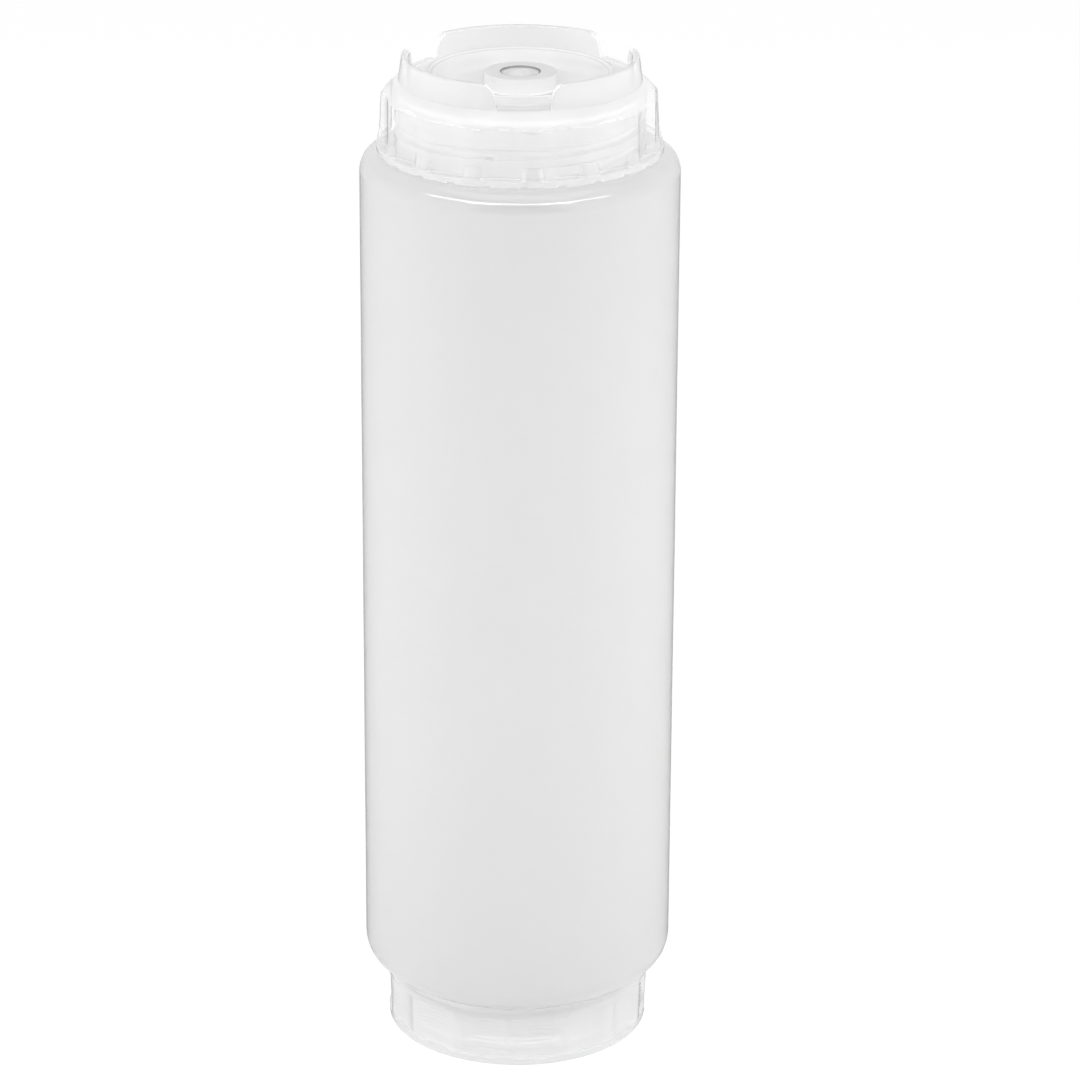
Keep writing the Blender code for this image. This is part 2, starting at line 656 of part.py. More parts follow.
def retainer_profile():
    """A flanged sleeve whose bead snaps into the groove of the boss tube."""
    bore = RETAINER_RADIUS - RETAINER_WALL
    half = RETAINER_BEAD_HEIGHT / 2
    bead = RETAINER_RADIUS + RETAINER_BEAD
    return [
        (bore, RETAINER_TOP),
        (RETAINER_RADIUS - EDGE_ROUND, RETAINER_TOP),
        (RETAINER_RADIUS, RETAINER_TOP - EDGE_ROUND),
        (RETAINER_RADIUS, BEAD_MIDDLE + half + RETAINER_BEAD),
        (bead, BEAD_MIDDLE + half),
        (bead, BEAD_MIDDLE - half),
        (RETAINER_RADIUS, BEAD_MIDDLE - half - RETAINER_BEAD),
        (RETAINER_RADIUS, RETAINER_SEAT),
        (BOSS_TUBE_RADIUS, RETAINER_SEAT),
        (BOSS_TUBE_RADIUS, RETAINER_SEAT - RETAINER_FLANGE),
        (bore, RETAINER_SEAT - RETAINER_FLANGE),
    ]


def make_retainer(parts, plastic):
    retainer = turned("valve_retainer", retainer_profile(), SMALL_SEGMENTS, parts, plastic)
    retainer.matrix_world = TOP_FRAME
    finish(retainer)
    return retainer


def refill_profile():
    """The refill cap in its own end's frame: rim by the bottle, recessed end wall, foot ring."""
    foot_top = LOW_END - FOOT_ROUND
    return [
        (0, LOW_END - FOOT_RECESS_DEPTH),
        (FOOT_RECESS_RADIUS - FOOT_RECESS_DEPTH, LOW_END - FOOT_RECESS_DEPTH),
        (FOOT_RECESS_RADIUS, LOW_END),
        (REFILL_FOOT_RADIUS - FOOT_ROUND, LOW_END),
        (REFILL_FOOT_RADIUS - FOOT_ROUND / 4, foot_top + FOOT_ROUND / 4),
        (REFILL_FOOT_RADIUS, foot_top),
        (REFILL_RIM_RADIUS, RIM_GAP + REFILL_BAND_HEIGHT),
        (REFILL_RIM_RADIUS, RIM_GAP + EDGE_ROUND),
        (REFILL_RIM_RADIUS - EDGE_ROUND, RIM_GAP),
        (CAP_BORE_RADIUS + EDGE_ROUND, RIM_GAP),
        (CAP_BORE_RADIUS, RIM_GAP + EDGE_ROUND),
        (CAP_BORE_RADIUS, LOW_ROOF - CAP_CORNER),
        (CAP_BORE_RADIUS - CAP_CORNER, LOW_ROOF),
        (PLUG_RADIUS, LOW_ROOF),
        (PLUG_RADIUS - EDGE_ROUND, LOW_ROOF - CAP_PLUG_DEPTH),
        (PLUG_RADIUS - CAP_PLUG_WALL, LOW_ROOF - CAP_PLUG_DEPTH),
        (PLUG_RADIUS - CAP_PLUG_WALL, LOW_ROOF),
        (0, LOW_ROOF),
    ]


def make_refill_cap(parts, tools, plastic):
    cap = turned("refill_cap", refill_profile(), TURN_SEGMENTS, parts, plastic)
    cap.matrix_world = LOW_FRAME
    ridge = cap_thread("cap_thread_low", LOW_NECK_LENGTH, LOW_CAP_THREAD_TURNS, LOW_FRAME, tools)
    combine(cap, ridge, "UNION")
    grip = make_grip_cutter(
        "grip_cutter_low", REFILL_SCOOP_FLOOR_RADIUS, REFILL_RIM_RADIUS, RIM_GAP + REFILL_BAND_HEIGHT,
        LOW_END - REFILL_FOOT_HEIGHT, math.pi / 2 - REFILL_GRIP_AZIMUTH, LOW_FRAME, tools,
    )
    combine(cap, grip, "DIFFERENCE")
    finish(cap)
    return cap


def main():
    clear_scene()
    parts = new_collection("squeeze_bottle")
    tools = new_collection("cutters")
    milky = new_material("milky_soft_plastic", (0.86, 0.86, 0.85), 0.42, 1)
    clear = new_material("natural_clear_plastic", (0.90, 0.91, 0.91), 0.22, 0.55)
    inner = new_material("white_hard_plastic", (0.88, 0.88, 0.88), 0.30, 1)
    silicone = new_material("clear_silicone", (0.88, 0.90, 0.90), 0.35, 0.7)
    make_body(parts, tools, milky)
    make_seal("dispensing_seal", TOP_NECK_LENGTH, TOP_FRAME, parts, silicone)
    make_dispensing_cap(parts, tools, clear)
    make_valve(parts, tools, silicone)
    make_retainer(parts, inner)
    make_seal("refill_seal", LOW_NECK_LENGTH, LOW_FRAME, parts, silicone)
    make_refill_cap(parts, tools, clear)


main()
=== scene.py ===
"""Looks of the two-ended squeeze bottle: a milky soft body under two clear screw caps.

Metres, +Z up, the same frame as the solids. Each end is drawn in its own frame, whose +Z points out of
the bottle and whose origin lies on the plane where the neck leaves the shoulder.
"""

import math

import bmesh
import bpy
from mathutils import Matrix, Vector, noise


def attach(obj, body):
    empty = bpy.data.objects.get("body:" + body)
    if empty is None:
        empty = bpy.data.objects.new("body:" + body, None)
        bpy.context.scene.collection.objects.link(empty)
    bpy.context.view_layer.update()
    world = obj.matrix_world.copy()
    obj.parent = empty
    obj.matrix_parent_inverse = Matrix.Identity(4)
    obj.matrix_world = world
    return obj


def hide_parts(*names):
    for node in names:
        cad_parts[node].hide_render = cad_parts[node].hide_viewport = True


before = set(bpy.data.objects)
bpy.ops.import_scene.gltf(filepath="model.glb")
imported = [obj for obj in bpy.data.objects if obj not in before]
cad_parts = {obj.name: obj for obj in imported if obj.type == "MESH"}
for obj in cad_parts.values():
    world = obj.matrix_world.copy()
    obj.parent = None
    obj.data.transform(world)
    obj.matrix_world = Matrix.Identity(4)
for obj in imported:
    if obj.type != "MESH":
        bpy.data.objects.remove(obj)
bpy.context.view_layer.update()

# Fits and edges
SEAT_GAP = 0.0003
EDGE = 0.0003
SOFT_EDGE = 0.0005
CORNER_STEPS = 4
CORNER_SHARE = 0.48
SHARP_ANGLE = math.radians(38)
WELD = 0.0000002
PLAIN_COLUMNS = 192

# Body and necks
BODY_RADIUS = 0.0350
BODY_WALL = 0.0011
TOP_SHOULDER_RADIUS = 0.0045
LOW_SHOULDER_RADIUS = 0.0063
SHOULDER_STEPS = 14
SIDE_ROWS = 56
SIDE_WAVE = 0.00004
SIDE_WAVE_SCALE = 38
NECK_BORE_RADIUS = 0.0244
NECK_WALL = 0.0013
NECK_FILLET = 0.0008
TOP_NECK_LENGTH = 0.01172
LOW_NECK_LENGTH = 0.01028
TOP_PLANE = 0.20778
LOW_PLANE = 0.01478

# Screw threads
THREAD_PITCH = 0.0042
THREAD_HEIGHT = 0.0013
THREAD_ROOT_WIDTH = 0.0023
THREAD_CREST_WIDTH = 0.0011
THREAD_LEAD_IN = 0.0010
THREAD_EMBED = 0.0004
THREAD_STEPS = 90
THREAD_FADE_STEPS = 9
THREAD_FADE_SHARE = 0.12
THREAD_EDGE = 0.00035
TOP_THREAD_TURNS = 1.6
LOW_THREAD_TURNS = 1.4
TOP_CAP_THREAD_TURNS = 1.5
LOW_CAP_THREAD_TURNS = 1.25
CAD_THREAD_STEPS = 30

# Both caps
CAP_BORE_RADIUS = 0.0273
PLUG_RADIUS = 0.0236
PLUG_WALL = 0.0011
PLUG_DEPTH = 0.0022
CAP_CORNER = 0.0008
RIM_GAP = 0.0003
GRIP_COUNT = 15
SCOOP_RADIUS = 0.0176
SCOOP_HALF_ANGLE = math.radians(8)
SCOOP_STOP_SHARES = (0, 0.3, 0.55, 0.75, 0.88, 0.97, 1.05, 1.13, 1.22, 1.34)
GRIP_BLEND = 0.00045
LAND_BLEND = 0.0004

# Dispensing cap
TOP_GRIP_RADIUS = 0.0302
TOP_SKIRT_FLARE = 0.00035
TOP_SCOOP_FLOOR_RADIUS = 0.02925
TOP_GRIP_AZIMUTH = math.radians(5.1)
TOP_ROOF = TOP_NECK_LENGTH + 0.0021
RIM_RADIUS = 0.03125
RIM_HEIGHT = 0.0015
RIM_FLARE_HEIGHT = 0.0027
CHAMFER_HEIGHT = 0.0033
CHAMFER_BULGE = 0.0001
CHAMFER_CORNER = 0.0009
COLUMN_SPACING = math.radians(0.08)
CHAMFER_STEPS = 9
CHAMFER_HALVINGS = 30
RIM_NOTCH_COUNT = 24
RIM_NOTCH_AZIMUTH = math.radians(1.7)
RIM_NOTCH_HALF = math.radians(1.9)
RIM_NOTCH_DEPTH = 0.0004
RIM_NOTCH_STEEPNESS = 3
RIM_NOTCH_STOP_SHARES = (-1, -2 / 3, 2 / 3, 1)
DECK_THICKNESS = 0.0018
DECK_TOP = TOP_ROOF + DECK_THICKNESS
RING_RADIUS = 0.0206
RING_WIDTH = 0.0011
RING_HEIGHT = 0.0020
DISH_RADIUS = 0.0148
DISH_FLOOR = DECK_TOP - 0.0014
DISH_CEILING = DISH_FLOOR - 0.0015
DISH_STEPS = 8
BOSS_RADIUS = 0.0079
BOSS_DRAFT = 0.0004
BOSS_TOP = DECK_TOP + 0.0019
BOSS_TUBE_RADIUS = 0.0082
BOSS_TUBE_END = DISH_CEILING - 0.0024
POCKET_RADIUS = 0.0065
ORIFICE_RADIUS = 0.0041
ORIFICE_FUNNEL = 0.00025
ORIFICE_FLARE = 0.0002
POCKET_CEILING = BOSS_TOP - 0.0017
LEG_COUNT = 3
LEG_AZIMUTH = math.radians(1.5)
LEG_HEIGHT = 0.0056
LEG_BASE_RADIUS = 0.0264
LEG_FOOT_INNER = 0.0246
LEG_TOP_OUTER = 0.0257
LEG_TOP_INNER = 0.0242
LEG_SILL = 0.00025
LEG_CORNER_RADIUS = 0.0030
LEG_CORNER_STEPS = 10
LEG_WARP_END = math.radians(60)
LEG_WARP_FULL = math.radians(20)
LEG_END_ROUND = 0.0009
LEG_END_SHARE = 0.6
LEG_EDGE_SHARE = 0.4
LEG_TOP_LEAN = 0.9
LEG_END_LEAN = 0.25
LEDGE_LEAN = 0.5
GAP_FLOOR_HALF = 0.0057
GAP_TOP_HALF = 0.0090

# Slit valve and its retainer
VALVE_RIM = BOSS_TOP - 0.0006
VALVE_TOP = POCKET_CEILING - SEAT_GAP
VALVE_BASE = VALVE_TOP - 0.0014
VALVE_WALL = 0.0007
VALVE_HEAD_THICKNESS = 0.0006
VALVE_DISH_DEPTH = 0.0008
VALVE_SLIT_WIDTH = 0.00012
VALVE_SLIT_HALF = 0.00248
VALVE_COLUMNS = 96
RETAINER_TOP = VALVE_BASE - SEAT_GAP
RETAINER_SEAT = BOSS_TUBE_END - SEAT_GAP
RETAINER_RADIUS = POCKET_RADIUS - SEAT_GAP
RETAINER_BORE = 0.0046
RETAINER_BEAD = 0.00055
RETAINER_BEAD_HALF = 0.0005
RETAINER_FLANGE = 0.0012
BEAD_MIDDLE = (RETAINER_TOP + RETAINER_SEAT) / 2

# Refill cap
REFILL_RIM_RADIUS = 0.0302
REFILL_FOOT_RADIUS = 0.0296
REFILL_SCOOP_FLOOR_RADIUS = 0.0287
REFILL_GRIP_AZIMUTH = math.radians(-3.1)
REFILL_BAND_HEIGHT = 0.0027
REFILL_FOOT_HEIGHT = 0.0018
LOW_ROOF = LOW_NECK_LENGTH + 0.0021
LOW_END = LOW_PLANE
FOOT_RECESS_DEPTH = 0.0008
FOOT_RECESS_RADIUS = 0.0250
FOOT_ROUND = 0.0004
BORE_RING_PITCH = 0.00095
BORE_RING_DEPTH = 0.00025

# Seals
SEAL_THICKNESS = 0.0015
SEAL_INNER_RADIUS = 0.0239
SEAL_OUTER_RADIUS = 0.0262
SEAL_BEAD = 0.0003

TOP_FRAME = Matrix.Translation((0, 0, TOP_PLANE))
LOW_FRAME = Matrix.Translation((0, 0, LOW_PLANE)) @ Matrix.Rotation(math.pi, 4, "X")
WHOLE_FRAME = Matrix.Identity(4)
NECK_RADIUS = NECK_BORE_RADIUS + NECK_WALL


def softened(corners, closed=True):
    """An outline through corners (radius, height, reach), each rounded off over its reach."""
    points = []
    count = len(corners)
    for index, (radius, height, reach) in enumerate(corners):
        corner = Vector((radius, height))
        ends = not closed and index in (0, count - 1)
        if reach == 0 or ends:
            points.append(corner)
            continue
        before = Vector(corners[index - 1][:2]) - corner
        after = Vector(corners[(index + 1) % count][:2]) - corner
        start = corner + before.normalized() * min(reach, before.length * CORNER_SHARE)
        end = corner + after.normalized() * min(reach, after.length * CORNER_SHARE)
        for step in range(CORNER_STEPS + 1):
            share = step / CORNER_STEPS
            curve = start * (1 - share) ** 2 + corner * 2 * share * (1 - share) + end * share ** 2
            points.append(curve)
    return points


def set_down(name, shape, place):
    """The object that a mesh under construction becomes, in its place."""
    mesh = bpy.data.meshes.new(name)
    shape.to_mesh(mesh)
    shape.free()
    mesh.transform(place)
    piece = bpy.data.objects.new(name, mesh)
    bpy.context.scene.collection.objects.link(piece)
    return piece


def bridged(shape, columns, around, closed=True):
    """Faces between columns of points that stand side by side, all round the axis or from end to end."""
    rings = [[shape.verts.new(point) for point in column] for column in columns]
    count = len(rings[0])
    for near, far in zip(rings, rings[1:] + rings[:1] if around else rings[1:]):
        for index in range(count if closed else count - 1):
            following = (index + 1) % count
            shape.faces.new((near[index], near[following], far[following], far[index]))
    return rings


def skinned(name, columns, place, closed=True):
    """A piece with columns of points all round the axis."""
    shape = bmesh.new()
    bridged(shape, columns, True, closed)
    bmesh.ops.remove_doubles(shape, verts=shape.verts, dist=WELD)
    bmesh.ops.recalc_face_normals(shape, faces=shape.faces)
    return set_down(name, shape, place)


def at_azimuth(points, azimuth):
    """An outline (radius, height), turned about the axis to an azimuth."""
    return [(p[0] * math.cos(azimuth), p[0] * math.sin(azimuth), p[1]) for p in points]


def lathed(name, outline, place, closed=True, columns=PLAIN_COLUMNS):
    """A turned piece: the same outline all round."""
    turns = [2 * math.pi * index / columns for index in range(columns)]
    return skinned(name, [at_azimuth(outline, turn) for turn in turns], place, closed)


def thread_ridge(name, root_radius, crest_radius, top_height, top_angle, turns, place):
    """A helical ridge with rounded crests whose two ends sink into the wall that carries it."""
    steps = round(turns * THREAD_STEPS)
    inward = math.copysign(1, root_radius - crest_radius)
    slope = (THREAD_ROOT_WIDTH - THREAD_CREST_WIDTH) / THREAD_HEIGHT / 2
    root_half = THREAD_ROOT_WIDTH / 2 + slope * THREAD_EMBED
    columns = []
    for step in range(steps + 1):
        angle = top_angle - 2 * math.pi * step / THREAD_STEPS
        height = top_height - THREAD_PITCH * step / THREAD_STEPS
        ends = min(step, steps - step)
        rise = min(1, THREAD_FADE_SHARE + (1 - THREAD_FADE_SHARE) * ends / THREAD_FADE_STEPS)
        root = root_radius + inward * THREAD_EMBED
        crest = root_radius + (crest_radius - root_radius) * rise
        crest_half = THREAD_ROOT_WIDTH / 2 - slope * THREAD_HEIGHT * rise
        edge = THREAD_EDGE * rise
        section = softened([
            (root, height + root_half, 0),
            (crest, height + crest_half, edge),
            (crest, height - crest_half, edge),
            (root, height - root_half, 0),
        ])
        columns.append(at_azimuth(section, angle))
    shape = bmesh.new()
    rings = bridged(shape, columns, False)
    shape.faces.new(rings[0])
    shape.faces.new(rings[-1])
    bmesh.ops.recalc_face_normals(shape, faces=shape.faces)
    return set_down(name, shape, place)


def neck_thread_top(neck_length):
    """Height of the middle of the neck's thread where it starts."""
    return neck_length - THREAD_LEAD_IN - THREAD_ROOT_WIDTH / 2


def neck_ridge(neck_length, turns, place):
    """The neck's thread, half a step of the solids' threads on from the X axis."""
    angle = math.pi / CAD_THREAD_STEPS
    top = neck_thread_top(neck_length)
    return thread_ridge("neck_ridge", NECK_RADIUS, NECK_RADIUS + THREAD_HEIGHT, top, angle, turns, place)


def cap_ridge(neck_length, turns, place):
    """The cap's thread, one flank's width behind the neck's and in step with it."""
    slope = (THREAD_ROOT_WIDTH - THREAD_CREST_WIDTH) / THREAD_HEIGHT
    widths = (THREAD_ROOT_WIDTH + THREAD_CREST_WIDTH - slope * SEAT_GAP) / 2
    offset = widths + SEAT_GAP * math.hypot(1, slope / 2)
    low = RIM_GAP + THREAD_LEAD_IN + THREAD_ROOT_WIDTH / 2
    base = neck_thread_top(neck_length) - offset
    step = round((low + turns * THREAD_PITCH - base) / THREAD_PITCH * CAD_THREAD_STEPS)
    top = base + step * THREAD_PITCH / CAD_THREAD_STEPS
    angle = 2 * math.pi * (step + 1 / 2) / CAD_THREAD_STEPS
    crest = NECK_RADIUS + SEAT_GAP
    return thread_ridge("cap_ridge", CAP_BORE_RADIUS, crest, top, angle, turns, place)


def join(piece, other, operation):
    """Cuts or welds one solid with another and keeps the result as the piece's own mesh."""
    boolean = piece.modifiers.new(operation.lower(), "BOOLEAN")
    boolean.operation = operation
    boolean.solver = "EXACT"
    boolean.object = other
    applied(piece)
    bpy.data.objects.remove(other, do_unlink=True)


def applied(piece):
    """Puts what the piece's modifiers make into its mesh."""
    bpy.context.view_layer.update()
    mesh = bpy.data.meshes.new_from_object(piece.evaluated_get(bpy.context.evaluated_depsgraph_get()))
    piece.modifiers.clear()
    piece.data = mesh


def polished(piece):
    """Smooth shading with crisp real edges, and flats that stay flat beside their rounded edges."""
    piece.data.shade_smooth()
    piece.data.set_sharp_from_angle(angle=SHARP_ANGLE)
    weighted = piece.modifiers.new("weighted", "WEIGHTED_NORMAL")
    weighted.keep_sharp = True
    applied(piece)
    piece.data.name = piece.name


# Body


def shoulder(radius, wall):
    """Points round a shoulder, from the neck's plane to the side, this far in from its outside."""
    points = []
    for step in range(SHOULDER_STEPS + 1):
        angle = math.pi / 2 * (1 - step / SHOULDER_STEPS)
        reach = radius - wall
        points.append((BODY_RADIUS - radius + reach * math.cos(angle), -radius + reach * math.sin(angle), 0))
    return points


def flipped(points, height):
    """An outline of the low end, seen in the whole bottle's frame."""
    return [(radius, height - z, reach) for radius, z, reach in reversed(points)]


def raised(points, height):
    """An outline of the top end, seen in the whole bottle's frame."""
    return [(radius, z + height, reach) for radius, z, reach in points]


def neck_side(length):
    return [(NECK_RADIUS, length, EDGE), (NECK_RADIUS, 0, NECK_FILLET)]


def neck_bore(length):
    return [(NECK_BORE_RADIUS, length, EDGE), (NECK_BORE_RADIUS, -BODY_WALL, SOFT_EDGE)]


def side_rows():
    """Rows of points down the straight side, so that its faint waviness has something to move."""
    high = TOP_PLANE - TOP_SHOULDER_RADIUS
    low = LOW_PLANE + LOW_SHOULDER_RADIUS
    return [(BODY_RADIUS, high + (low - high) * row / SIDE_ROWS, 0) for row in range(1, SIDE_ROWS)]


def make_body():
    outer = raised(neck_side(TOP_NECK_LENGTH) + shoulder(TOP_SHOULDER_RADIUS, 0), TOP_PLANE)
    outer += side_rows()
    outer += flipped(neck_side(LOW_NECK_LENGTH) + shoulder(LOW_SHOULDER_RADIUS, 0), LOW_PLANE)
    low_inner = neck_bore(LOW_NECK_LENGTH) + shoulder(LOW_SHOULDER_RADIUS, BODY_WALL)
    top_inner = neck_bore(TOP_NECK_LENGTH) + shoulder(TOP_SHOULDER_RADIUS, BODY_WALL)
    inner = list(reversed(flipped(low_inner, LOW_PLANE))) + list(reversed(raised(top_inner, TOP_PLANE)))
    body = lathed("soft_body", softened(outer + inner), WHOLE_FRAME)
    for vertex in body.data.vertices:
        across = math.hypot(vertex.co.x, vertex.co.y)
        if across > BODY_RADIUS - BODY_WALL / 2:
            wave = noise.noise(vertex.co * SIDE_WAVE_SCALE) - 1
            vertex.co.xy *= 1 + SIDE_WAVE * wave / across
    join(body, neck_ridge(TOP_NECK_LENGTH, TOP_THREAD_TURNS, TOP_FRAME), "UNION")
    join(body, neck_ridge(LOW_NECK_LENGTH, LOW_THREAD_TURNS, LOW_FRAME), "UNION")
    polished(body)
    return body


# Groups of faces


def marked(piece, material, chosen):
    """Gives the faces that the test picks, by centre and normal, a finish of their own."""
    piece.data.materials.append(material)
    index = len(piece.data.materials) - 1
    for face in piece.data.polygons:
        if chosen(face.center, face.normal):
            face.material_index = index


def inside_body(centre, normal):
    """Faces that look into the bottle."""
    if LOW_PLANE < centre.z < TOP_PLANE:
        return normal.dot(centre - Vector((0, 0, (TOP_PLANE + LOW_PLANE) / 2))) < 0
    return centre.xy.length < NECK_BORE_RADIUS + EDGE / 2


def neck_lightened_faces(centre, normal):
    """Both necks, with their threads, which get a lighter copy of the body's plastic: painted light where
    the caps shade them.
    """
    return centre.z > TOP_PLANE + NECK_FILLET or centre.z < LOW_PLANE - NECK_FILLET


def thread_highlight_faces(centre, normal):
    """The crests and flanks of the dispensing cap's thread, given a whiter, hazier skin as a painted
    highlight.
    """
    within = TOP_PLANE + RIM_GAP + EDGE < centre.z < TOP_PLANE + TOP_ROOF - EDGE
    return within and NECK_RADIUS < centre.xy.length < CAP_BORE_RADIUS - EDGE / 2


def inside_skirt(centre, normal):
    """Faces of a cap that look at the neck."""
    low_cap = LOW_PLANE - LOW_ROOF < centre.z < LOW_PLANE
    top_cap = TOP_PLANE < centre.z < TOP_PLANE + TOP_ROOF
    within = centre.xy.length < CAP_BORE_RADIUS + EDGE
    return (low_cap or top_cap) and within and normal.xy.dot(centre.xy) < 0


def deck_lightened_faces(centre, normal):
    """The deck over the neck, with its tube, given a whiter, hazier skin as painted light."""
    return centre.xy.length < LEG_FOOT_INNER and centre.z - TOP_PLANE > BOSS_TUBE_END


def slope_lightened_faces(centre, normal):
    """The slope outside the legs, given a whiter, hazier skin as painted light."""
    high = centre.z - TOP_PLANE > DECK_TOP - CHAMFER_HEIGHT + EDGE
    return high and centre.xy.length > LEG_BASE_RADIUS - EDGE


def channel_darkened_faces(centre, normal):
    """The floor between the raised ring and the legs, and the sills of the openings, given a darker skin as
    painted shade in the recess.
    """
    low = abs(centre.z - TOP_PLANE - DECK_TOP) < LEG_SILL + EDGE
    return low and RING_RADIUS < centre.xy.length < LEG_BASE_RADIUS and normal.z > 0


def boss_lightened_faces(centre, normal):
    """The boss, outside and round its orifice, given a whiter, hazier skin as painted light."""
    within = centre.xy.length < BOSS_RADIUS + BOSS_DRAFT + EDGE
    return within and centre.z - TOP_PLANE > DISH_FLOOR - EDGE


def rim_faces(centre, normal):
    """The dispensing cap's rim, outside."""
    height = centre.z - TOP_PLANE
    return height < RIM_GAP + RIM_HEIGHT + EDGE and centre.xy.length > CAP_BORE_RADIUS + EDGE


def flare_faces(centre, normal):
    """The flares at the feet of the lands."""
    height = centre.z - TOP_PLANE - RIM_GAP - RIM_HEIGHT
    return EDGE < height < RIM_FLARE_HEIGHT and centre.xy.length > TOP_GRIP_RADIUS + TOP_SKIRT_FLARE / 2


def foot_faces(centre, normal):
    """The refill cap's foot band and the end that it stands on."""
    return centre.z < REFILL_FOOT_HEIGHT


def orifice_shadow_lip(centre, normal):
    """The small funnel round the orifice, given a near-black skin as a painted shadow ring."""
    height = centre.z - TOP_PLANE - BOSS_TOP
    within = centre.xy.length < ORIFICE_RADIUS + 2 * ORIFICE_FLARE
    return within and abs(height + ORIFICE_FUNNEL / 2) < ORIFICE_FUNNEL


def ledge_faces(centre, normal):
    """The small flat ledges over the rim, where the scoops end."""
    height = centre.z - TOP_PLANE - RIM_GAP - RIM_HEIGHT
    return abs(height) < EDGE * 2 and normal.z > LEDGE_LEAN and centre.xy.length > CAP_BORE_RADIUS + EDGE


def leg_darkened_faces(centre, normal):
    """The legs, inside and out, given a darker skin as painted shade against the light they catch."""
    return centre.z - TOP_PLANE - DECK_TOP > LEG_SILL / 2 and centre.xy.length > LEG_TOP_INNER - EDGE


def leg_end_highlight_faces(centre, normal):
    """The upright ends of the legs and the round corners over them, given a whiter, hazier skin as a painted
    bright outline.
    """
    high = centre.z - TOP_PLANE - DECK_TOP > LEG_SILL
    across = abs(normal.xy.cross(centre.xy.normalized()))
    return high and centre.xy.length > LEG_TOP_INNER - EDGE and across > LEG_END_LEAN


def leg_top_darkened_faces(centre, normal):
    """The legs' top faces, given a darker skin as painted shade lines."""
    high = centre.z - TOP_PLANE - DECK_TOP > LEG_CORNER_RADIUS / 2
    return high and centre.xy.length > DISH_RADIUS and normal.z > LEG_TOP_LEAN


# Grips of both caps


def grip_columns(land_azimuth):
    """Azimuths round a grip, close together where a scoop runs into a land."""
    azimuths = []
    pitch = 2 * math.pi / GRIP_COUNT
    for scoop in range(GRIP_COUNT):
        middle = land_azimuth + pitch * (scoop + 1 / 2)
        azimuths.append(middle + pitch / 2)
        for share in SCOOP_STOP_SHARES:
            azimuths += {middle + SCOOP_HALF_ANGLE * share, middle - SCOOP_HALF_ANGLE * share}
    return azimuths


def grip_radius(azimuth, land_azimuth, land_radius, floor_radius):
    """The grip's radius, where each scoop rolls softly over into the lands beside it."""
    pitch = 2 * math.pi / GRIP_COUNT
    turn = wrapped(azimuth - land_azimuth - pitch / 2, pitch)
    centre = floor_radius + SCOOP_RADIUS
    scoop = centre * math.cos(turn) - math.sqrt(SCOOP_RADIUS ** 2 - (centre * math.sin(turn)) ** 2)
    share = max(0, min(1, 0.5 + (scoop - land_radius) / (2 * GRIP_BLEND)))
    return scoop + (land_radius - scoop) * share - GRIP_BLEND * share * (1 - share)


def wrapped(angle, period):
    """The angle, brought to within half a period of nought."""
    return (angle + period / 2) % period - period / 2


# Dispensing cap


def gap_edge():
    """Half of the opening between two legs: distance from its middle, and height over the deck."""
    centre = (GAP_TOP_HALF, LEG_HEIGHT - LEG_CORNER_RADIUS)
    across = centre[0] - GAP_FLOOR_HALF
    rise = centre[1] - LEG_SILL
    tangent = math.atan2(rise, across) + math.asin(LEG_CORNER_RADIUS / math.hypot(across, rise))
    edge = [(GAP_FLOOR_HALF, LEG_SILL)]
    for step in range(LEG_CORNER_STEPS + 1):
        angle = tangent + math.pi / 2 - tangent * step / LEG_CORNER_STEPS
        x = centre[0] + LEG_CORNER_RADIUS * math.cos(angle)
        z = centre[1] + LEG_CORNER_RADIUS * math.sin(angle)
        edge.append((x, z))
    return edge


def leg_height(across, edge):
    """How high the leg ring stands at a distance from the middle of the nearest opening."""
    if across <= edge[0][0]:
        return LEG_SILL
    for (x0, z0), (x1, z1) in zip(edge, edge[1:]):
        if across <= x1:
            return z0 + (z1 - z0) * (across - x0) / (x1 - x0)
    return LEG_HEIGHT


def chamfer_point(share):
    """The bulging slope between the legs and the skirt."""
    bulge = CHAMFER_BULGE * math.sin(math.pi * share)
    start = LEG_BASE_RADIUS + EDGE
    radius = start + (TOP_GRIP_RADIUS - start) * share + bulge
    return radius, DECK_TOP - CHAMFER_HEIGHT * share + bulge


def chamfer_end(radius):
    """Where down the slope a scoop of this radius runs out."""
    low, high = 0.0, 1.0
    for _ in range(CHAMFER_HALVINGS):
        middle = (low + high) / 2
        if chamfer_point(middle)[0] < radius:
            low = middle
        else:
            high = middle
    return low


def cap_side(radius, rim_low):
    """From the legs' foot down the slope, the skirt and the rim, where the grip has this radius."""
    rim_top = RIM_GAP + RIM_HEIGHT
    land = max(0, 1 - (TOP_GRIP_RADIUS - radius) / LAND_BLEND)
    end = chamfer_end(radius)
    slope = [(*chamfer_point(end * step / CHAMFER_STEPS), 0) for step in range(CHAMFER_STEPS)]
    return slope + [
        (*chamfer_point(end), CHAMFER_CORNER),
        (radius + TOP_SKIRT_FLARE * land, rim_top + RIM_FLARE_HEIGHT, SOFT_EDGE),
        (radius + (RIM_RADIUS - EDGE / 2 - radius) * land, rim_top + EDGE * 2 * land, SOFT_EDGE),
        (RIM_RADIUS, rim_top, EDGE),
        (RIM_RADIUS, rim_low, EDGE),
        (CAP_BORE_RADIUS, rim_low, EDGE),
    ]


def plug_rim(roof):
    """From a cap's bore along its roof and round the plug rim that enters the neck."""
    return [
        (CAP_BORE_RADIUS, roof, CAP_CORNER),
        (PLUG_RADIUS, roof, EDGE),
        (PLUG_RADIUS - EDGE, roof - PLUG_DEPTH, EDGE),
        (PLUG_RADIUS - PLUG_WALL, roof - PLUG_DEPTH, EDGE),
        (PLUG_RADIUS - PLUG_WALL, roof, EDGE),
    ]


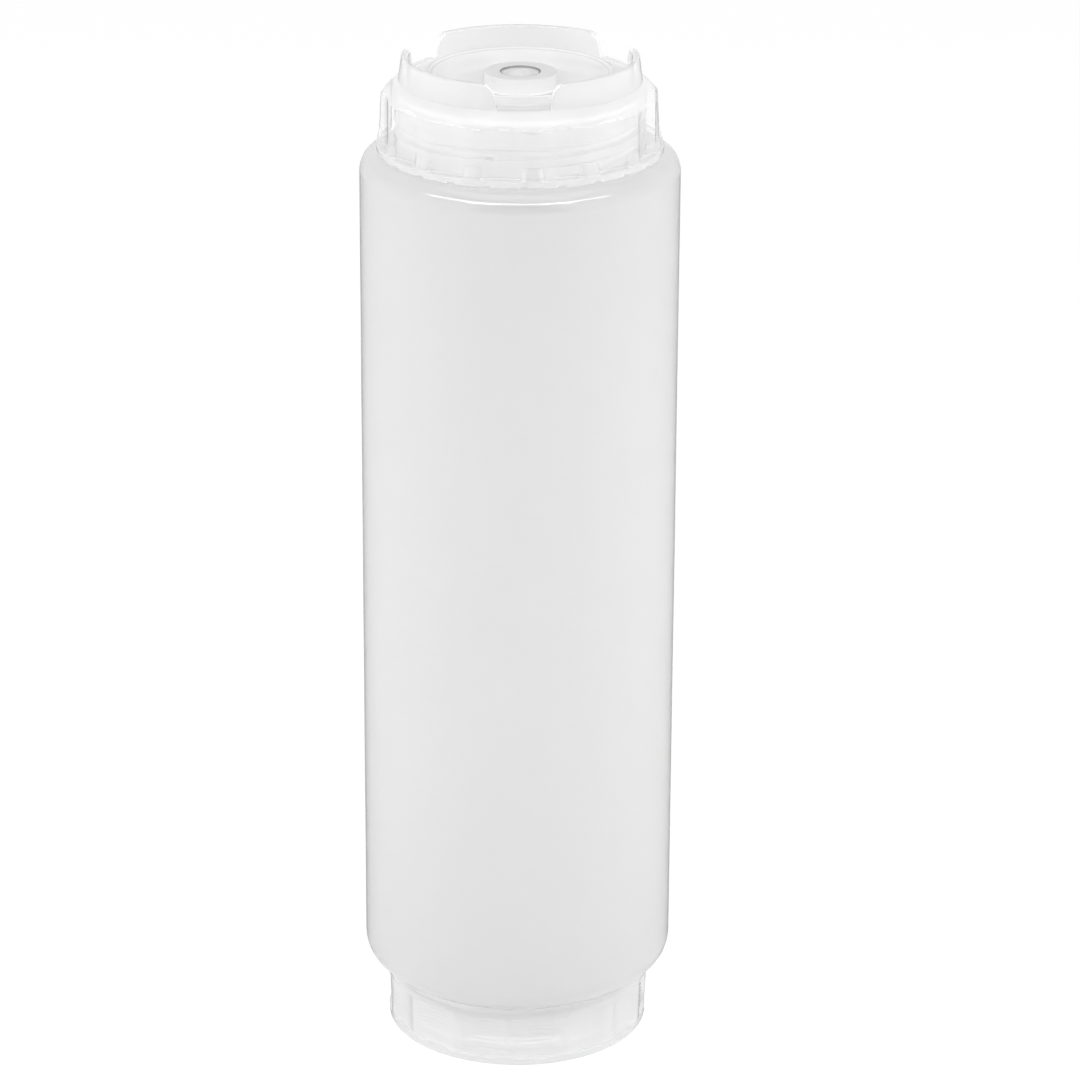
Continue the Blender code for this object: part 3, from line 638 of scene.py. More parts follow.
def deck_underside():
    """From the skirt's bore to the end of the boss's tube."""
    return plug_rim(TOP_ROOF) + [
        (RING_RADIUS - RING_WIDTH, TOP_ROOF, SOFT_EDGE),
        (DISH_RADIUS, DISH_CEILING, SOFT_EDGE),
        (BOSS_TUBE_RADIUS, DISH_CEILING, EDGE),
        (BOSS_TUBE_RADIUS, BOSS_TUBE_END, EDGE),
    ]


def boss_inside():
    """From the tube's end through the valve's pocket and the orifice, and down the outside of the boss."""
    groove_radius = RETAINER_RADIUS + RETAINER_BEAD + SEAT_GAP
    groove_half = RETAINER_BEAD_HALF + SEAT_GAP
    return [
        (POCKET_RADIUS, BOSS_TUBE_END, EDGE),
        (POCKET_RADIUS, BEAD_MIDDLE - groove_half - RETAINER_BEAD, EDGE),
        (groove_radius, BEAD_MIDDLE - groove_half, EDGE),
        (groove_radius, BEAD_MIDDLE + groove_half, EDGE),
        (POCKET_RADIUS, BEAD_MIDDLE + groove_half + RETAINER_BEAD, EDGE),
        (POCKET_RADIUS, POCKET_CEILING, EDGE),
        (ORIFICE_RADIUS, POCKET_CEILING, EDGE),
        (ORIFICE_RADIUS, BOSS_TOP - ORIFICE_FUNNEL, EDGE),
        (ORIFICE_RADIUS + ORIFICE_FLARE, BOSS_TOP, EDGE),
        (BOSS_RADIUS, BOSS_TOP, EDGE),
        (BOSS_RADIUS + BOSS_DRAFT, DISH_FLOOR, SOFT_EDGE),
    ]


def deck_top():
    """The dish, the raised ring and the channel out to the legs."""
    start = (DISH_RADIUS, DISH_FLOOR)
    end = (RING_RADIUS - RING_WIDTH, DECK_TOP + RING_HEIGHT - EDGE)
    points = []
    for step in range(DISH_STEPS + 1):
        share = step / DISH_STEPS
        ease = (1 - math.cos(math.pi * share)) / 2
        points.append((start[0] + (end[0] - start[0]) * share, start[1] + (end[1] - start[1]) * ease, 0))
    return points + [
        (RING_RADIUS - RING_WIDTH + EDGE, DECK_TOP + RING_HEIGHT, EDGE),
        (RING_RADIUS, DECK_TOP + RING_HEIGHT, EDGE),
        (RING_RADIUS + EDGE, DECK_TOP, SOFT_EDGE),
        (LEG_FOOT_INNER, DECK_TOP, SOFT_EDGE),
    ]


def leg_side(height, across):
    """Up the inside of the leg ring, over it and down its outside, where it stands this high.

    The leg's outer face rolls inwards beside an opening, whose middle lies this far across.
    """
    share = height / LEG_HEIGHT
    past = max(0, min(1, (across - GAP_FLOOR_HALF) / LEG_END_ROUND))
    roll = LEG_END_ROUND * LEG_END_SHARE * (1 - math.sqrt(1 - (1 - past) ** 2))
    outer = LEG_BASE_RADIUS + (LEG_TOP_OUTER - LEG_BASE_RADIUS - roll) * share
    inner = LEG_FOOT_INNER + (LEG_TOP_INNER - LEG_FOOT_INNER) * share
    edge = min(SOFT_EDGE, height * LEG_EDGE_SHARE)
    return [
        (inner, DECK_TOP + height, edge),
        (outer, DECK_TOP + height, edge),
        (LEG_BASE_RADIUS, DECK_TOP + min(LEG_SILL, height / 2), EDGE / 2),
    ]


def leg_warp(radius, turn):
    """Turns a point of the leg ring so that the openings' ends are cut straight, not radially."""
    straight = math.asin(min(1, LEG_BASE_RADIUS * abs(math.sin(turn)) / radius))
    share = (LEG_WARP_END - abs(turn)) / (LEG_WARP_END - LEG_WARP_FULL)
    return math.copysign((straight - abs(turn)) * max(0, min(1, share)), turn)


def notch_lift(azimuth):
    """How far the rim's lower edge is lifted by its row of small notches."""
    turn = wrapped(azimuth + math.pi / 2 - RIM_NOTCH_AZIMUTH, 2 * math.pi / RIM_NOTCH_COUNT)
    share = 1 - min(1, abs(turn) / RIM_NOTCH_HALF)
    return RIM_NOTCH_DEPTH * min(1, share * RIM_NOTCH_STEEPNESS)


def cap_columns():
    """Azimuths of the dispensing cap's columns, once round, none too close to another one."""
    azimuths = grip_columns(TOP_GRIP_AZIMUTH - math.pi / 2)
    for leg in range(LEG_COUNT):
        middle = LEG_AZIMUTH - math.pi / 2 + 2 * math.pi * leg / LEG_COUNT
        for across, _ in gap_edge():
            turn = math.asin(across / LEG_BASE_RADIUS)
            azimuths += [middle - turn, middle + turn]
    for notch in range(RIM_NOTCH_COUNT):
        middle = RIM_NOTCH_AZIMUTH - math.pi / 2 + 2 * math.pi * notch / RIM_NOTCH_COUNT
        azimuths += [middle + RIM_NOTCH_HALF * share for share in RIM_NOTCH_STOP_SHARES]
    kept = []
    for azimuth in sorted(azimuth % (2 * math.pi) for azimuth in azimuths):
        if not kept or azimuth - kept[-1] > COLUMN_SPACING:
            kept.append(azimuth)
    return kept


def make_dispensing_cap():
    edge = gap_edge()
    columns = []
    for azimuth in cap_columns():
        gap_turn = wrapped(azimuth + math.pi / 2 - LEG_AZIMUTH, 2 * math.pi / LEG_COUNT)
        across = LEG_BASE_RADIUS * math.sin(abs(gap_turn))
        legs = leg_side(leg_height(across, edge), across)
        grip = grip_radius(azimuth, TOP_GRIP_AZIMUTH - math.pi / 2, TOP_GRIP_RADIUS, TOP_SCOOP_FLOOR_RADIUS)
        side = cap_side(grip, RIM_GAP + notch_lift(azimuth))
        outline = softened(legs + side + deck_underside() + boss_inside() + deck_top())
        column = []
        for radius, z in outline:
            place = azimuth
            on_ring = LEG_TOP_INNER - SOFT_EDGE < radius < LEG_BASE_RADIUS + EDGE / 2
            if on_ring and z >= DECK_TOP + LEG_SILL / 2:
                place += leg_warp(radius, gap_turn)
            column.append((radius * math.cos(place), radius * math.sin(place), z))
        columns.append(column)
    cap = skinned("clear_dispensing_cap", columns, TOP_FRAME)
    join(cap, cap_ridge(TOP_NECK_LENGTH, TOP_CAP_THREAD_TURNS, TOP_FRAME), "UNION")
    polished(cap)
    return cap


# Refill cap


def refill_side(azimuth):
    """From the rim by the bottle down to the foot, with the grip as it stands at this azimuth."""
    band_low = RIM_GAP + REFILL_BAND_HEIGHT
    band_high = LOW_END - REFILL_FOOT_HEIGHT
    taper = (REFILL_FOOT_RADIUS - REFILL_RIM_RADIUS) / (LOW_END - FOOT_ROUND - band_low)
    low_radius = REFILL_RIM_RADIUS
    high_radius = REFILL_RIM_RADIUS + taper * (band_high - band_low)
    land_azimuth = math.pi / 2 - REFILL_GRIP_AZIMUTH
    floor_low = grip_radius(azimuth, land_azimuth, low_radius, REFILL_SCOOP_FLOOR_RADIUS)
    floor_high = grip_radius(azimuth, land_azimuth, high_radius, REFILL_SCOOP_FLOOR_RADIUS)
    return [
        (REFILL_FOOT_RADIUS, LOW_END, FOOT_ROUND),
        (high_radius, band_high, EDGE / 2),
        (floor_high, band_high - EDGE / 3, EDGE / 2),
        (floor_low, band_low + EDGE / 3, EDGE / 2),
        (low_radius, band_low, EDGE / 2),
        (REFILL_RIM_RADIUS, RIM_GAP, EDGE),
        (CAP_BORE_RADIUS, RIM_GAP, EDGE),
    ]


def ringed_bore():
    """The bore with its fine turned rings."""
    points = []
    rings = int((LOW_ROOF - CAP_CORNER - RIM_GAP) / BORE_RING_PITCH)
    for ring in range(rings):
        z = RIM_GAP + BORE_RING_PITCH * (ring + 1 / 2)
        points.append((CAP_BORE_RADIUS, z - EDGE, 0))
        points.append((CAP_BORE_RADIUS + BORE_RING_DEPTH, z, 0))
        points.append((CAP_BORE_RADIUS, z + EDGE, 0))
    return points


def make_refill_cap():
    roof = plug_rim(LOW_ROOF) + [(0, LOW_ROOF, 0)]
    foot = [
        (0, LOW_END - FOOT_RECESS_DEPTH, 0),
        (FOOT_RECESS_RADIUS - FOOT_RECESS_DEPTH, LOW_END - FOOT_RECESS_DEPTH, SOFT_EDGE),
        (FOOT_RECESS_RADIUS, LOW_END, EDGE),
    ]
    columns = []
    for azimuth in sorted(grip_columns(math.pi / 2 - REFILL_GRIP_AZIMUTH)):
        outline = softened(foot + refill_side(azimuth) + ringed_bore() + roof, closed=False)
        columns.append(at_azimuth(outline, azimuth))
    cap = skinned("clear_refill_cap", columns, LOW_FRAME, closed=False)
    join(cap, cap_ridge(LOW_NECK_LENGTH, LOW_CAP_THREAD_TURNS, LOW_FRAME), "UNION")
    polished(cap)
    return cap


# Seals, valve and retainer


def make_seal(name, neck_length, place):
    """A flat ring on the lip of a neck, with a bead along the middle of its underside."""
    low = neck_length + SEAT_GAP
    high = low + SEAL_THICKNESS
    middle = (SEAL_INNER_RADIUS + SEAL_OUTER_RADIUS) / 2
    seal = lathed(name, softened([
        (SEAL_INNER_RADIUS, high, EDGE),
        (SEAL_OUTER_RADIUS, high, EDGE),
        (SEAL_OUTER_RADIUS, low + SEAL_BEAD, EDGE),
        (middle + SEAL_BEAD, low + SEAL_BEAD, EDGE / 3),
        (middle, low, EDGE / 3),
        (middle - SEAL_BEAD, low + SEAL_BEAD, EDGE / 3),
        (SEAL_INNER_RADIUS, low + SEAL_BEAD, EDGE),
    ]), place)
    polished(seal)
    return seal


def make_valve():
    """The slit valve: flange, thin side wall and a dished head with two crossed cuts."""
    outer = ORIFICE_RADIUS - SEAT_GAP
    inner = outer - VALVE_WALL
    rim = VALVE_RIM
    dish = []
    under = []
    for step in range(DISH_STEPS):
        share = step / DISH_STEPS
        sag = VALVE_DISH_DEPTH * (1 - share ** 2)
        dish.append((inner * share, rim - sag, 0))
        under.append((inner * share, rim - sag - VALVE_HEAD_THICKNESS, 0))
    corners = dish + [
        (inner, rim, EDGE / 2),
        (outer, rim, EDGE),
        (outer, VALVE_TOP, EDGE / 2),
        (POCKET_RADIUS - SEAT_GAP, VALVE_TOP, EDGE),
        (POCKET_RADIUS - SEAT_GAP, VALVE_BASE, EDGE),
        (inner, VALVE_BASE, EDGE),
        (inner, rim - VALVE_HEAD_THICKNESS, EDGE / 2),
    ] + list(reversed(under))
    outline = softened(corners, closed=False)
    valve = lathed("silicone_valve", outline, TOP_FRAME, closed=False, columns=VALVE_COLUMNS)
    for turn in (0, math.pi / 2):
        size = Vector((VALVE_SLIT_WIDTH, 2 * VALVE_SLIT_HALF, 4 * VALVE_HEAD_THICKNESS))
        shape = bmesh.new()
        bmesh.ops.create_cube(shape, size=1)
        bmesh.ops.scale(shape, vec=size, verts=shape.verts)
        middle = rim - VALVE_DISH_DEPTH / 2 - VALVE_HEAD_THICKNESS / 2
        place = TOP_FRAME @ Matrix.Translation((0, 0, middle)) @ Matrix.Rotation(turn, 4, "Z")
        knife = set_down("slit", shape, place)
        join(valve, knife, "DIFFERENCE")
    polished(valve)
    return valve


def make_retainer():
    """The ring that snaps into the boss's tube and holds the valve's flange."""
    bead = RETAINER_RADIUS + RETAINER_BEAD
    half = RETAINER_BEAD_HALF
    retainer = lathed("snap_retainer", softened([
        (RETAINER_BORE, RETAINER_TOP, EDGE),
        (RETAINER_RADIUS, RETAINER_TOP, EDGE),
        (RETAINER_RADIUS, BEAD_MIDDLE + half + RETAINER_BEAD, EDGE),
        (bead, BEAD_MIDDLE + half, EDGE),
        (bead, BEAD_MIDDLE - half, EDGE),
        (RETAINER_RADIUS, BEAD_MIDDLE - half - RETAINER_BEAD, EDGE),
        (RETAINER_RADIUS, RETAINER_SEAT, EDGE),
        (BOSS_TUBE_RADIUS, RETAINER_SEAT, EDGE),
        (BOSS_TUBE_RADIUS, RETAINER_SEAT - RETAINER_FLANGE, EDGE),
        (RETAINER_BORE, RETAINER_SEAT - RETAINER_FLANGE, EDGE),
    ]), TOP_FRAME, columns=VALVE_COLUMNS)
    polished(retainer)
    return retainer


# Shader maths


class Wire:
    """A shader value. A sum, product or power on it adds the Math node that works it out."""

    def __init__(self, tree, socket):
        self.tree = tree
        self.socket = socket

    def math(self, operation, first, second):
        node = self.tree.nodes.new("ShaderNodeMath")
        node.operation = operation
        for place, value in zip(node.inputs, (first, second)):
            if isinstance(value, Wire):
                self.tree.links.new(value.socket, place)
            else:
                place.default_value = value
        return Wire(self.tree, node.outputs[0])

    def __add__(self, other):
        return self.math("ADD", self, other)

    def __radd__(self, other):
        return self.math("ADD", other, self)

    def __sub__(self, other):
        return self.math("SUBTRACT", self, other)

    def __rsub__(self, other):
        return self.math("SUBTRACT", other, self)

    def __mul__(self, other):
        return self.math("MULTIPLY", self, other)

    def __rmul__(self, other):
        return self.math("MULTIPLY", other, self)

    def __pow__(self, other):
        return self.math("POWER", self, other)

    def sine(self):
        return self.math("SINE", self, 0)

    def size(self):
        return self.math("ABSOLUTE", self, 0)

    def at_most(self, limit):
        return self.math("MINIMUM", self, limit)

    def at_least(self, limit):
        return self.math("MAXIMUM", self, limit)


def grey(level):
    return (level, level, level, 1)


class Finish:
    """The nodes of a material, or of the studio round the bottle, under construction."""

    def __init__(self, owner):
        self.owner = owner
        self.owner.use_nodes = True
        self.tree = self.owner.node_tree
        self.tree.nodes.clear()

    def add(self, kind, output=0, settings=None, **inputs):
        """A node of a kind, its settings first and then its inputs, and the wire from one output."""
        node = self.tree.nodes.new("ShaderNode" + kind)
        for name, value in (settings or {}).items():
            setattr(node, name, value)
        for name, value in inputs.items():
            place = node.inputs[int(name[1:])] if name[0] == "_" else node.inputs[name.replace("_", " ")]
            if isinstance(value, Wire):
                self.tree.links.new(value.socket, place)
            else:
                place.default_value = value
        return Wire(self.tree, node.outputs[output])

    def noise(self, scale, detail=3, stretch=(1, 1, 1)):
        """Soft noise over the object, so many cells a metre, stretched along each axis."""
        place = self.add("TexCoord", output=3)
        if stretch != (1, 1, 1):
            place = self.add("Mapping", Vector=place, Scale=stretch)
        return self.add("TexNoise", Vector=place, Scale=scale, Detail=detail)

    def edge_shaded(self, base, power, tint, roughness, normal):
        """The base with painted edge shade: a grey-tinted reflection, mixed in at grazing sight where the
        face stands upright, darkens its outline.
        """
        shade_reflection = self.add("BsdfAnisotropic", Color=grey(tint), Roughness=roughness, Normal=normal)
        lean = self.add("SeparateXYZ", output=2, Vector=self.add("NewGeometry", output=1))
        upright = (1 - lean.size()) * ((lean + EDGE_SHADE_LEAN_LIMIT) * EDGE_SHADE_STEEPNESS).at_least(0).at_most(1)
        share = self.add("LayerWeight", output=1, Blend=0.5, Normal=normal) ** power
        return self.add("MixShader", _0=share * upright, _1=base, _2=shade_reflection)

    def clear_skin(self, tint, haze, onward, roughness, edge, normal):
        """A clear plastic face: some light passes, its haze scatters some both ways, it is glossy, and its
        outline gets painted edge shade.
        """
        back = self.add("BsdfDiffuse", Color=grey(tint), Normal=normal)
        through = self.add("BsdfTranslucent", Color=grey(tint), Normal=normal)
        scattered = self.add("MixShader", _0=onward, _1=back, _2=through)
        passed = self.add("BsdfTransparent", Color=grey(1))
        plastic = self.add("MixShader", _0=haze, _1=passed, _2=scattered)
        gloss = self.add("BsdfAnisotropic", Color=grey(1), Roughness=roughness, Normal=normal)
        shown = self.add("MixShader", _0=GLOSS_SHARE, _1=plastic, _2=gloss)
        return self.edge_shaded(shown, CLEAR_EDGE_SHADE_POWER, edge, roughness, normal)

    def grey_mix(self, share, dark, light):
        """A grey between two, by a share from 0 to 1."""
        greys = {"_6": grey(dark), "_7": grey(light)}
        return self.add("Mix", output=2, settings={"data_type": "RGBA"}, _0=share, **greys)

    def done(self, surface, end="OutputMaterial"):
        """What is being made, with its surface linked to its last node."""
        output = self.tree.nodes.new("ShaderNode" + end)
        self.tree.links.new(surface.socket, output.inputs["Surface"])
        return self.owner


# Finishes. Scales are cells a metre, depths are metres, and greys and shares run from 0 to 1.

# The painted edge shade fades out on faces that lean up or down, by these two numbers; the powers below set
# how close to grazing sight it darkens.
EDGE_SHADE_LEAN_LIMIT = 0.55
EDGE_SHADE_STEEPNESS = 3
GLOSS_SHARE = 0.05
CLEAR_EDGE_SHADE_POWER = 7
MILKY_EDGE_SHADE_POWER = 6

FLOW_SCALE = 60
FLOW_STRETCH = (1, 1, 0.05)
FLOW_SHARE = 0.35
CLOUD_SCALE = 22
CLOUD_SHARE = 0.5
GRAIN_SCALE = 2600
GRAIN_SHARE = 0.1
PEEL_SCALE = 420
PEEL_SHARE = 0.9
MILKY_RELIEF = 0.04
MILKY_RELIEF_DEPTH = 0.0003
MILKY_ROUGHNESS = 0.11
MILKY_ROUGHNESS_RANGE = 0.05
MILKY_COAT_ROUGHNESS = 0.08
MILKY_THROUGH_SHARE = 0.48
PLASTIC_IOR = 1.5

WAVE_SCALE = 160
WAVE_SHARE = 0.8
FINE_SCALE = 1500
FINE_SHARE = 0.2
CLEAR_RELIEF_DEPTH = 0.0005
CLEAR_ROUGHNESS_RANGE = 0.04

SILICONE_SCALE = 900
SILICONE_RELIEF = 0.08
SILICONE_RELIEF_DEPTH = 0.0003
SILICONE_HAZE = 0.6
SILICONE_ONWARD = 0.35
SILICONE_ROUGHNESS = 0.3
SILICONE_ROUGHNESS_RANGE = 0.1
# The grey of the silicone's painted edge shade: lower is darker.
SILICONE_EDGE_SHADE = 0.8

FLOOR_GREY = 0.9
FLOOR_GLOW = 1.1
FLOOR_GLOW_SHARE = 0.85


# The edge grey tints the reflection that paints shade along the outline: lower is darker.
def milky_polyethylene(name, dark, light, onward, edge):
    """The bottle's soft translucent plastic, satin, with faint upright flow marks and clouds, and painted
    edge shade along its outline.
    """
    finish = Finish(bpy.data.materials.new(name))
    flow = finish.noise(FLOW_SCALE, detail=4, stretch=FLOW_STRETCH)
    cloud = finish.noise(CLOUD_SCALE, detail=2)
    grain = finish.noise(GRAIN_SCALE, detail=2)
    peel = finish.noise(PEEL_SCALE, detail=3)
    tone = (flow - 0.5) * FLOW_SHARE + (cloud - 0.5) * CLOUD_SHARE + 0.5
    colour = finish.grey_mix(tone, dark, light)
    relief = peel * PEEL_SHARE + grain * GRAIN_SHARE
    normal = finish.add("Bump", Strength=MILKY_RELIEF, Distance=MILKY_RELIEF_DEPTH, Height=relief)
    roughness = MILKY_ROUGHNESS + (peel - 0.5) * MILKY_ROUGHNESS_RANGE
    skin = finish.add(
        "BsdfPrincipled", Base_Color=colour, Roughness=roughness, Normal=normal, IOR=PLASTIC_IOR,
        Specular_IOR_Level=1, Coat_Weight=1, Coat_Roughness=MILKY_COAT_ROUGHNESS,
    )
    through = finish.add("BsdfTranslucent", Color=grey(onward), Normal=normal)
    milky = finish.add("MixShader", _0=MILKY_THROUGH_SHARE, _1=skin, _2=through)
    return finish.done(finish.edge_shaded(milky, MILKY_EDGE_SHADE_POWER, edge, roughness, normal))


def clear_film():
    """The body's inner face, which only passes on what its milky skin scatters."""
    finish = Finish(bpy.data.materials.new("clear_film"))
    return finish.done(finish.add("BsdfTransparent", Color=grey(1)))


# The edge grey tints the reflection that paints shade along the outline: lower is darker.
def clear_polypropylene(
    name, tint=0.92, haze=0.27, edge=0.15, onward=0.5, roughness=0.07, rings=0, relief=0.05,
):
    """Natural polypropylene: nearly clear, a little hazy, glossy, with faint moulding waves."""
    finish = Finish(bpy.data.materials.new(name))
    wave = finish.noise(WAVE_SCALE, detail=2)
    fine = finish.noise(FINE_SCALE, detail=2)
    height = wave * WAVE_SHARE + fine * FINE_SHARE
    if rings:
        z = finish.add("SeparateXYZ", output=2, Vector=finish.add("TexCoord", output=3))
        height = height + (z * (2 * math.pi / BORE_RING_PITCH)).sine() * rings
    normal = finish.add("Bump", Strength=relief, Distance=CLEAR_RELIEF_DEPTH, Height=height)
    gloss = roughness + (fine - 0.5) * CLEAR_ROUGHNESS_RANGE
    return finish.done(finish.clear_skin(tint, haze, onward, gloss, edge, normal))


def clear_silicone():
    """Clear silicone: hazier and softer in its gloss than the caps."""
    finish = Finish(bpy.data.materials.new("clear_silicone"))
    fine = finish.noise(SILICONE_SCALE, detail=2)
    normal = finish.add("Bump", Strength=SILICONE_RELIEF, Distance=SILICONE_RELIEF_DEPTH, Height=fine)
    gloss = SILICONE_ROUGHNESS + (fine - 0.5) * SILICONE_ROUGHNESS_RANGE
    return finish.done(finish.clear_skin(1, SILICONE_HAZE, SILICONE_ONWARD, gloss, SILICONE_EDGE_SHADE, normal))


def seen_directly(finish):
    """1 for what the eye, a gloss or clear plastic sees, 0 for what lights the surfaces."""
    camera = finish.add("LightPath", output=0)
    glossy = finish.add("LightPath", output=3)
    through = finish.add("LightPath", output=6)
    return (camera + glossy + through).at_most(1)


def studio_floor():
    """A white sweep that keeps the bottle's soft shadow."""
    finish = Finish(bpy.data.materials.new("studio_floor"))
    lit = finish.add("BsdfDiffuse", Color=grey(FLOOR_GREY))
    white = finish.add("Emission", Color=grey(1), Strength=FLOOR_GLOW)
    shown = finish.add("MixShader", _0=FLOOR_GLOW_SHARE, _1=lit, _2=white)
    return finish.done(finish.add("MixShader", _0=seen_directly(finish), _1=lit, _2=shown))


# Assembly


# The skins over the dispensing cap's own plastic: a later one covers an earlier one where they meet. Several
# are lighter or darker copies of the same plastic, as painted light or shade, and each edge is the grey of
# the painted edge shade.
TOP_CAP_SKINS = (
    ("hazy_bore_skin", inside_skirt, {"tint": 0.95, "haze": 0.3, "edge": 0.6}),
    # Painted highlight: the thread's faces whiter and hazier than the rest of the cap.
    ("thread_painted_highlight_skin", thread_highlight_faces, {"tint": 0.94, "haze": 0.45, "edge": 0.8}),
    ("rim_skin", rim_faces, {"tint": 0.96, "haze": 0.42, "edge": 0.4}),
    ("flare_skin", flare_faces, {"tint": 0.95, "haze": 0.32, "edge": 0.3}),
    ("ledge_skin", ledge_faces, {"tint": 0.97, "haze": 0.5, "edge": 0.8}),
    # Painted light: the deck whiter and hazier than the rest of the cap, against the dark seen through it.
    ("deck_painted_light_skin", deck_lightened_faces, {"tint": 0.97, "haze": 0.5, "edge": 1}),
    # Painted light: the slope whiter and hazier than the rest of the cap.
    ("slope_painted_light_skin", slope_lightened_faces, {"tint": 0.99, "haze": 0.45}),
    # Painted shade: the recessed channel darker than the rest of the cap.
    ("channel_painted_shade_skin", channel_darkened_faces, {"tint": 0.86, "haze": 0.55, "edge": 1}),
    # Painted light: the boss whiter and hazier than the rest of the cap, against the dark seen through it.
    ("boss_painted_light_skin", boss_lightened_faces, {"tint": 1, "haze": 0.82, "edge": 0.9, "onward": 0.15}),
    # Painted shade: the legs darker than the rest of the cap.
    ("leg_painted_shade_skin", leg_darkened_faces, {"tint": 0.85, "haze": 0.5, "edge": 0.3}),
    # Painted shadow: a near-black ring round the orifice.
    ("orifice_painted_shade_ring", orifice_shadow_lip, {"tint": 0.08, "haze": 0.6}),
    # Painted shade: dark lines along the legs' tops.
    ("leg_top_painted_shade", leg_top_darkened_faces, {"tint": 0.8, "haze": 0.5, "edge": 0.8}),
    # Painted highlight: the leg ends whiter and hazier than the legs.
    ("leg_end_painted_highlight_skin", leg_end_highlight_faces, {"tint": 0.94, "haze": 0.8, "edge": 0.5}),
)
# In these skins, each edge is the grey of the painted edge shade along the outline.
REFILL_CAP_SKIN = {"tint": 0.88, "haze": 0.35, "edge": 0.3, "rings": 1, "relief": 0.15}
REFILL_CAP_SKINS = (
    ("turned_bore_skin", inside_skirt, {"tint": 0.93, "haze": 0.45, "edge": 0.4}),
    ("foot_skin", foot_faces, {"tint": 0.8, "haze": 0.8}),
)
# edge is the grey of the painted edge shade along the body's outline.
BODY_GREYS = {"dark": 0.56, "light": 0.6, "onward": 0.9, "edge": 0.2}
# The necks' plastic is the body's made lighter, with less edge shade: painted light where the caps shade the
# necks.
NECK_PAINTED_LIGHT_GREYS = {"dark": 0.76, "light": 0.8, "onward": 0.88, "edge": 0.7}
RETAINER_SKIN = {"tint": 1, "haze": 0.5, "roughness": 0.22}


def dress(piece, material, body, node):
    """Gives a piece its finish, the body that it moves with and the solid that it replaces."""
    piece.data.materials.clear()
    piece.data.materials.append(material)
    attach(piece, body)
    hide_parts(node)


def make_pieces():
    silicone = clear_silicone()
    body = make_body()
    dress(body, milky_polyethylene("milky_polyethylene", **BODY_GREYS), "bottle", "bottle_body")
    # A lighter copy of the body's plastic on the necks, as painted light.
    marked(body, milky_polyethylene("neck_painted_light_polyethylene", **NECK_PAINTED_LIGHT_GREYS), neck_lightened_faces)
    marked(body, clear_film(), inside_body)
    top_cap = make_dispensing_cap()
    cap_plastic = clear_polypropylene("clear_polypropylene")
    dress(top_cap, cap_plastic, "dispensing_end", "dispensing_cap")
    for name, chosen, look in TOP_CAP_SKINS:
        marked(top_cap, clear_polypropylene(name, **look), chosen)
    dress(make_valve(), silicone, "dispensing_end", "dispensing_valve")
    retainer_plastic = clear_polypropylene("natural_polypropylene", **RETAINER_SKIN)
    dress(make_retainer(), retainer_plastic, "dispensing_end", "valve_retainer")
    top_seal = make_seal("dispensing_seal_ring", TOP_NECK_LENGTH, TOP_FRAME)
    dress(top_seal, silicone, "dispensing_seat", "dispensing_seal")
    low_cap = make_refill_cap()
    turned_skin = clear_polypropylene("turned_refill_skin", **REFILL_CAP_SKIN)
    dress(low_cap, turned_skin, "refill_end", "refill_cap")
    for name, chosen, look in REFILL_CAP_SKINS:
        marked(low_cap, clear_polypropylene(name, **look), chosen)
    low_seal = make_seal("refill_seal_ring", LOW_NECK_LENGTH, LOW_FRAME)
    dress(low_seal, silicone, "refill_seat", "refill_seal")


# Studio

CAMERA_PLACE = (0, -0.9656, 0.49006)
CAMERA_PITCH = math.radians(90 - 21.137)
CAMERA_TURN = math.radians(-0.2827)
CAMERA_ROLL = math.radians(0.3018)
CAMERA_LENS = 153.83
SENSOR_WIDTH = 36
NEAREST_SEEN = 0.05
FARTHEST_SEEN = 20
FLOOR_HALF = 3.0
FLOOR_CELLS = 4
FILL_LEVEL = 0.13
ROOM_START = 0.8
ROOM_FADE = 0.04
ROOM_LEVEL = 0.15

# Name, place, aim, width and height, watts, and whether it shows in the gloss
LAMPS = (
    ("left_softbox", (-1.0, -0.2, 0.18), (0, 0, 0.1), (1.3, 0.38), 9.0, False),
    ("right_softbox", (1.0, -0.2, 0.18), (0, 0, 0.1), (1.3, 0.38), 9.0, False),
    ("low_softbox", (0, -0.25, 0.03), (0, 0, 0.02), (0.3, 0.04), 0.06, False),
    ("front_strip", (0, -0.88, 1.02), (0, 0, 0.2), (1.6, 0.16), 4.6, True),
    ("left_strip", (-0.67, -0.565, 1.02), (0, 0, 0.2), (1.0, 0.16), 2.9, True),
    ("right_strip", (0.67, -0.565, 1.02), (0, 0, 0.2), (1.0, 0.16), 2.9, True),
    ("top_softbox", (0, 0.1, 1.3), (0, 0, 0.2), (1.0, 1.0), 2.8, True),
)


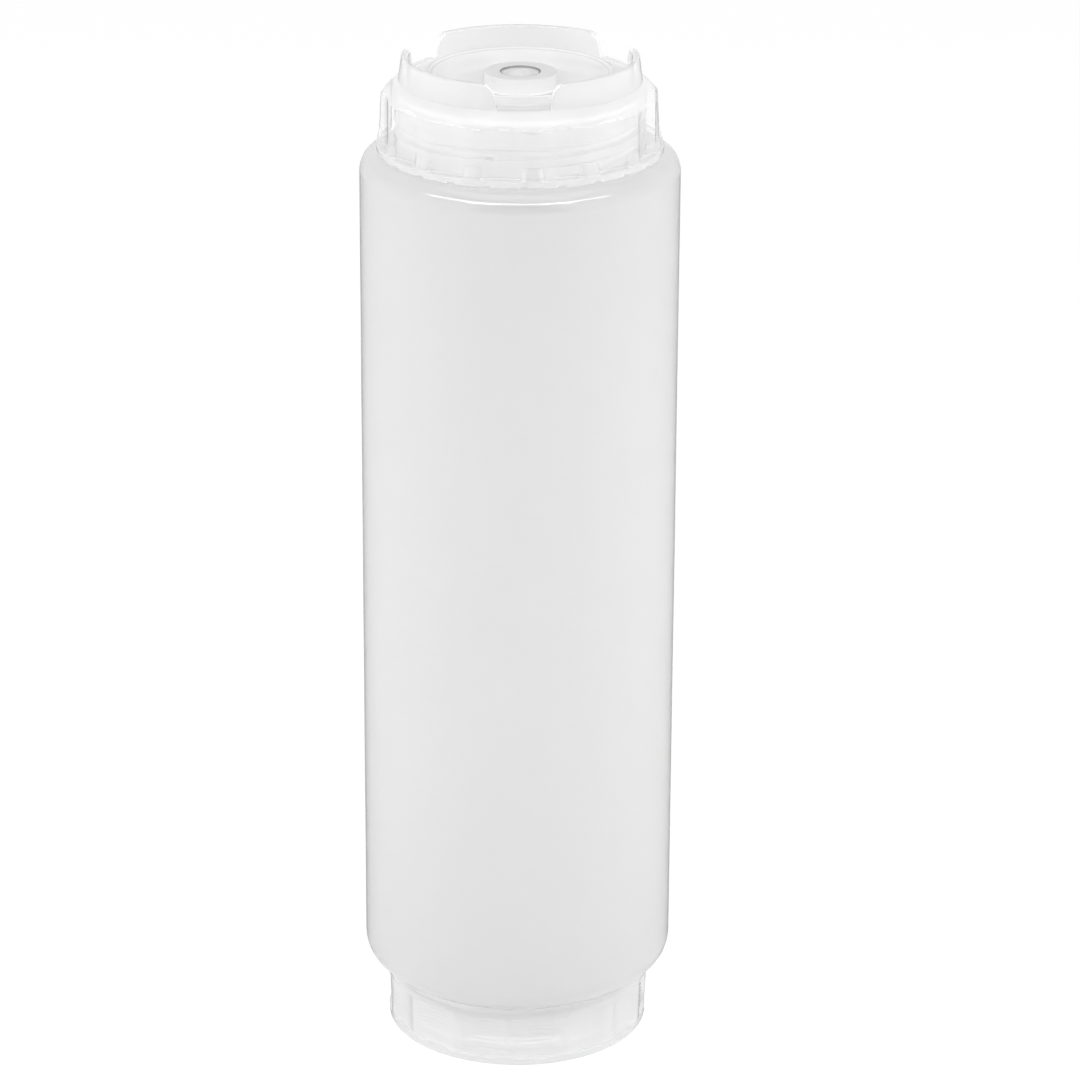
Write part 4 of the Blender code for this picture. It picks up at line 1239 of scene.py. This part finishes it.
def make_camera():
    lens = bpy.data.cameras.new("camera")
    lens.lens = CAMERA_LENS
    lens.sensor_width = SENSOR_WIDTH
    lens.clip_start = NEAREST_SEEN
    lens.clip_end = FARTHEST_SEEN
    camera = bpy.data.objects.new("camera", lens)
    turn = Matrix.Rotation(CAMERA_TURN, 4, "Z") @ Matrix.Rotation(CAMERA_PITCH, 4, "X")
    camera.matrix_world = Matrix.Translation(CAMERA_PLACE) @ turn @ Matrix.Rotation(CAMERA_ROLL, 4, "Z")
    bpy.context.scene.collection.objects.link(camera)
    bpy.context.scene.camera = camera


def make_floor():
    shape = bmesh.new()
    bmesh.ops.create_grid(shape, x_segments=FLOOR_CELLS, y_segments=FLOOR_CELLS, size=FLOOR_HALF)
    floor = set_down("floor", shape, WHOLE_FRAME)
    floor.data.materials.append(studio_floor())


def softbox(name, place, aim, size, power, glint):
    light = bpy.data.lights.new(name, "AREA")
    light.shape = "RECTANGLE"
    light.size, light.size_y = size
    light.energy = power
    lamp = bpy.data.objects.new(name, light)
    lamp.location = place
    lamp.rotation_euler = (Vector(aim) - Vector(place)).to_track_quat("-Z", "Y").to_euler()
    lamp.visible_camera = False
    lamp.visible_glossy = glint
    bpy.context.scene.collection.objects.link(lamp)


def make_lights():
    for lamp in LAMPS:
        softbox(*lamp)


def make_world():
    """White to the eye and to clear plastic, a dim room before the bottle for its gloss, and a soft fill."""
    world = bpy.data.worlds.new("studio")
    bpy.context.scene.world = world
    room = Finish(world)
    fill = room.add("Background", Color=grey(1), Strength=FILL_LEVEL)
    white = room.add("Background", Color=grey(1), Strength=1)
    dim = room.add("Background", Color=grey(1), Strength=ROOM_LEVEL)
    depth = room.add("SeparateXYZ", output=1, Vector=room.add("TexCoord"))
    forward = ((0 - depth - ROOM_START) * (1 / ROOM_FADE)).at_least(0).at_most(1)
    around = room.add("MixShader", _0=forward * room.add("LightPath", output=3), _1=white, _2=dim)
    room.done(room.add("MixShader", _0=seen_directly(room), _1=fill, _2=around), "OutputWorld")


bpy.context.scene.view_settings.view_transform = "Standard"
make_camera()
make_floor()
make_lights()
make_world()
make_pieces()
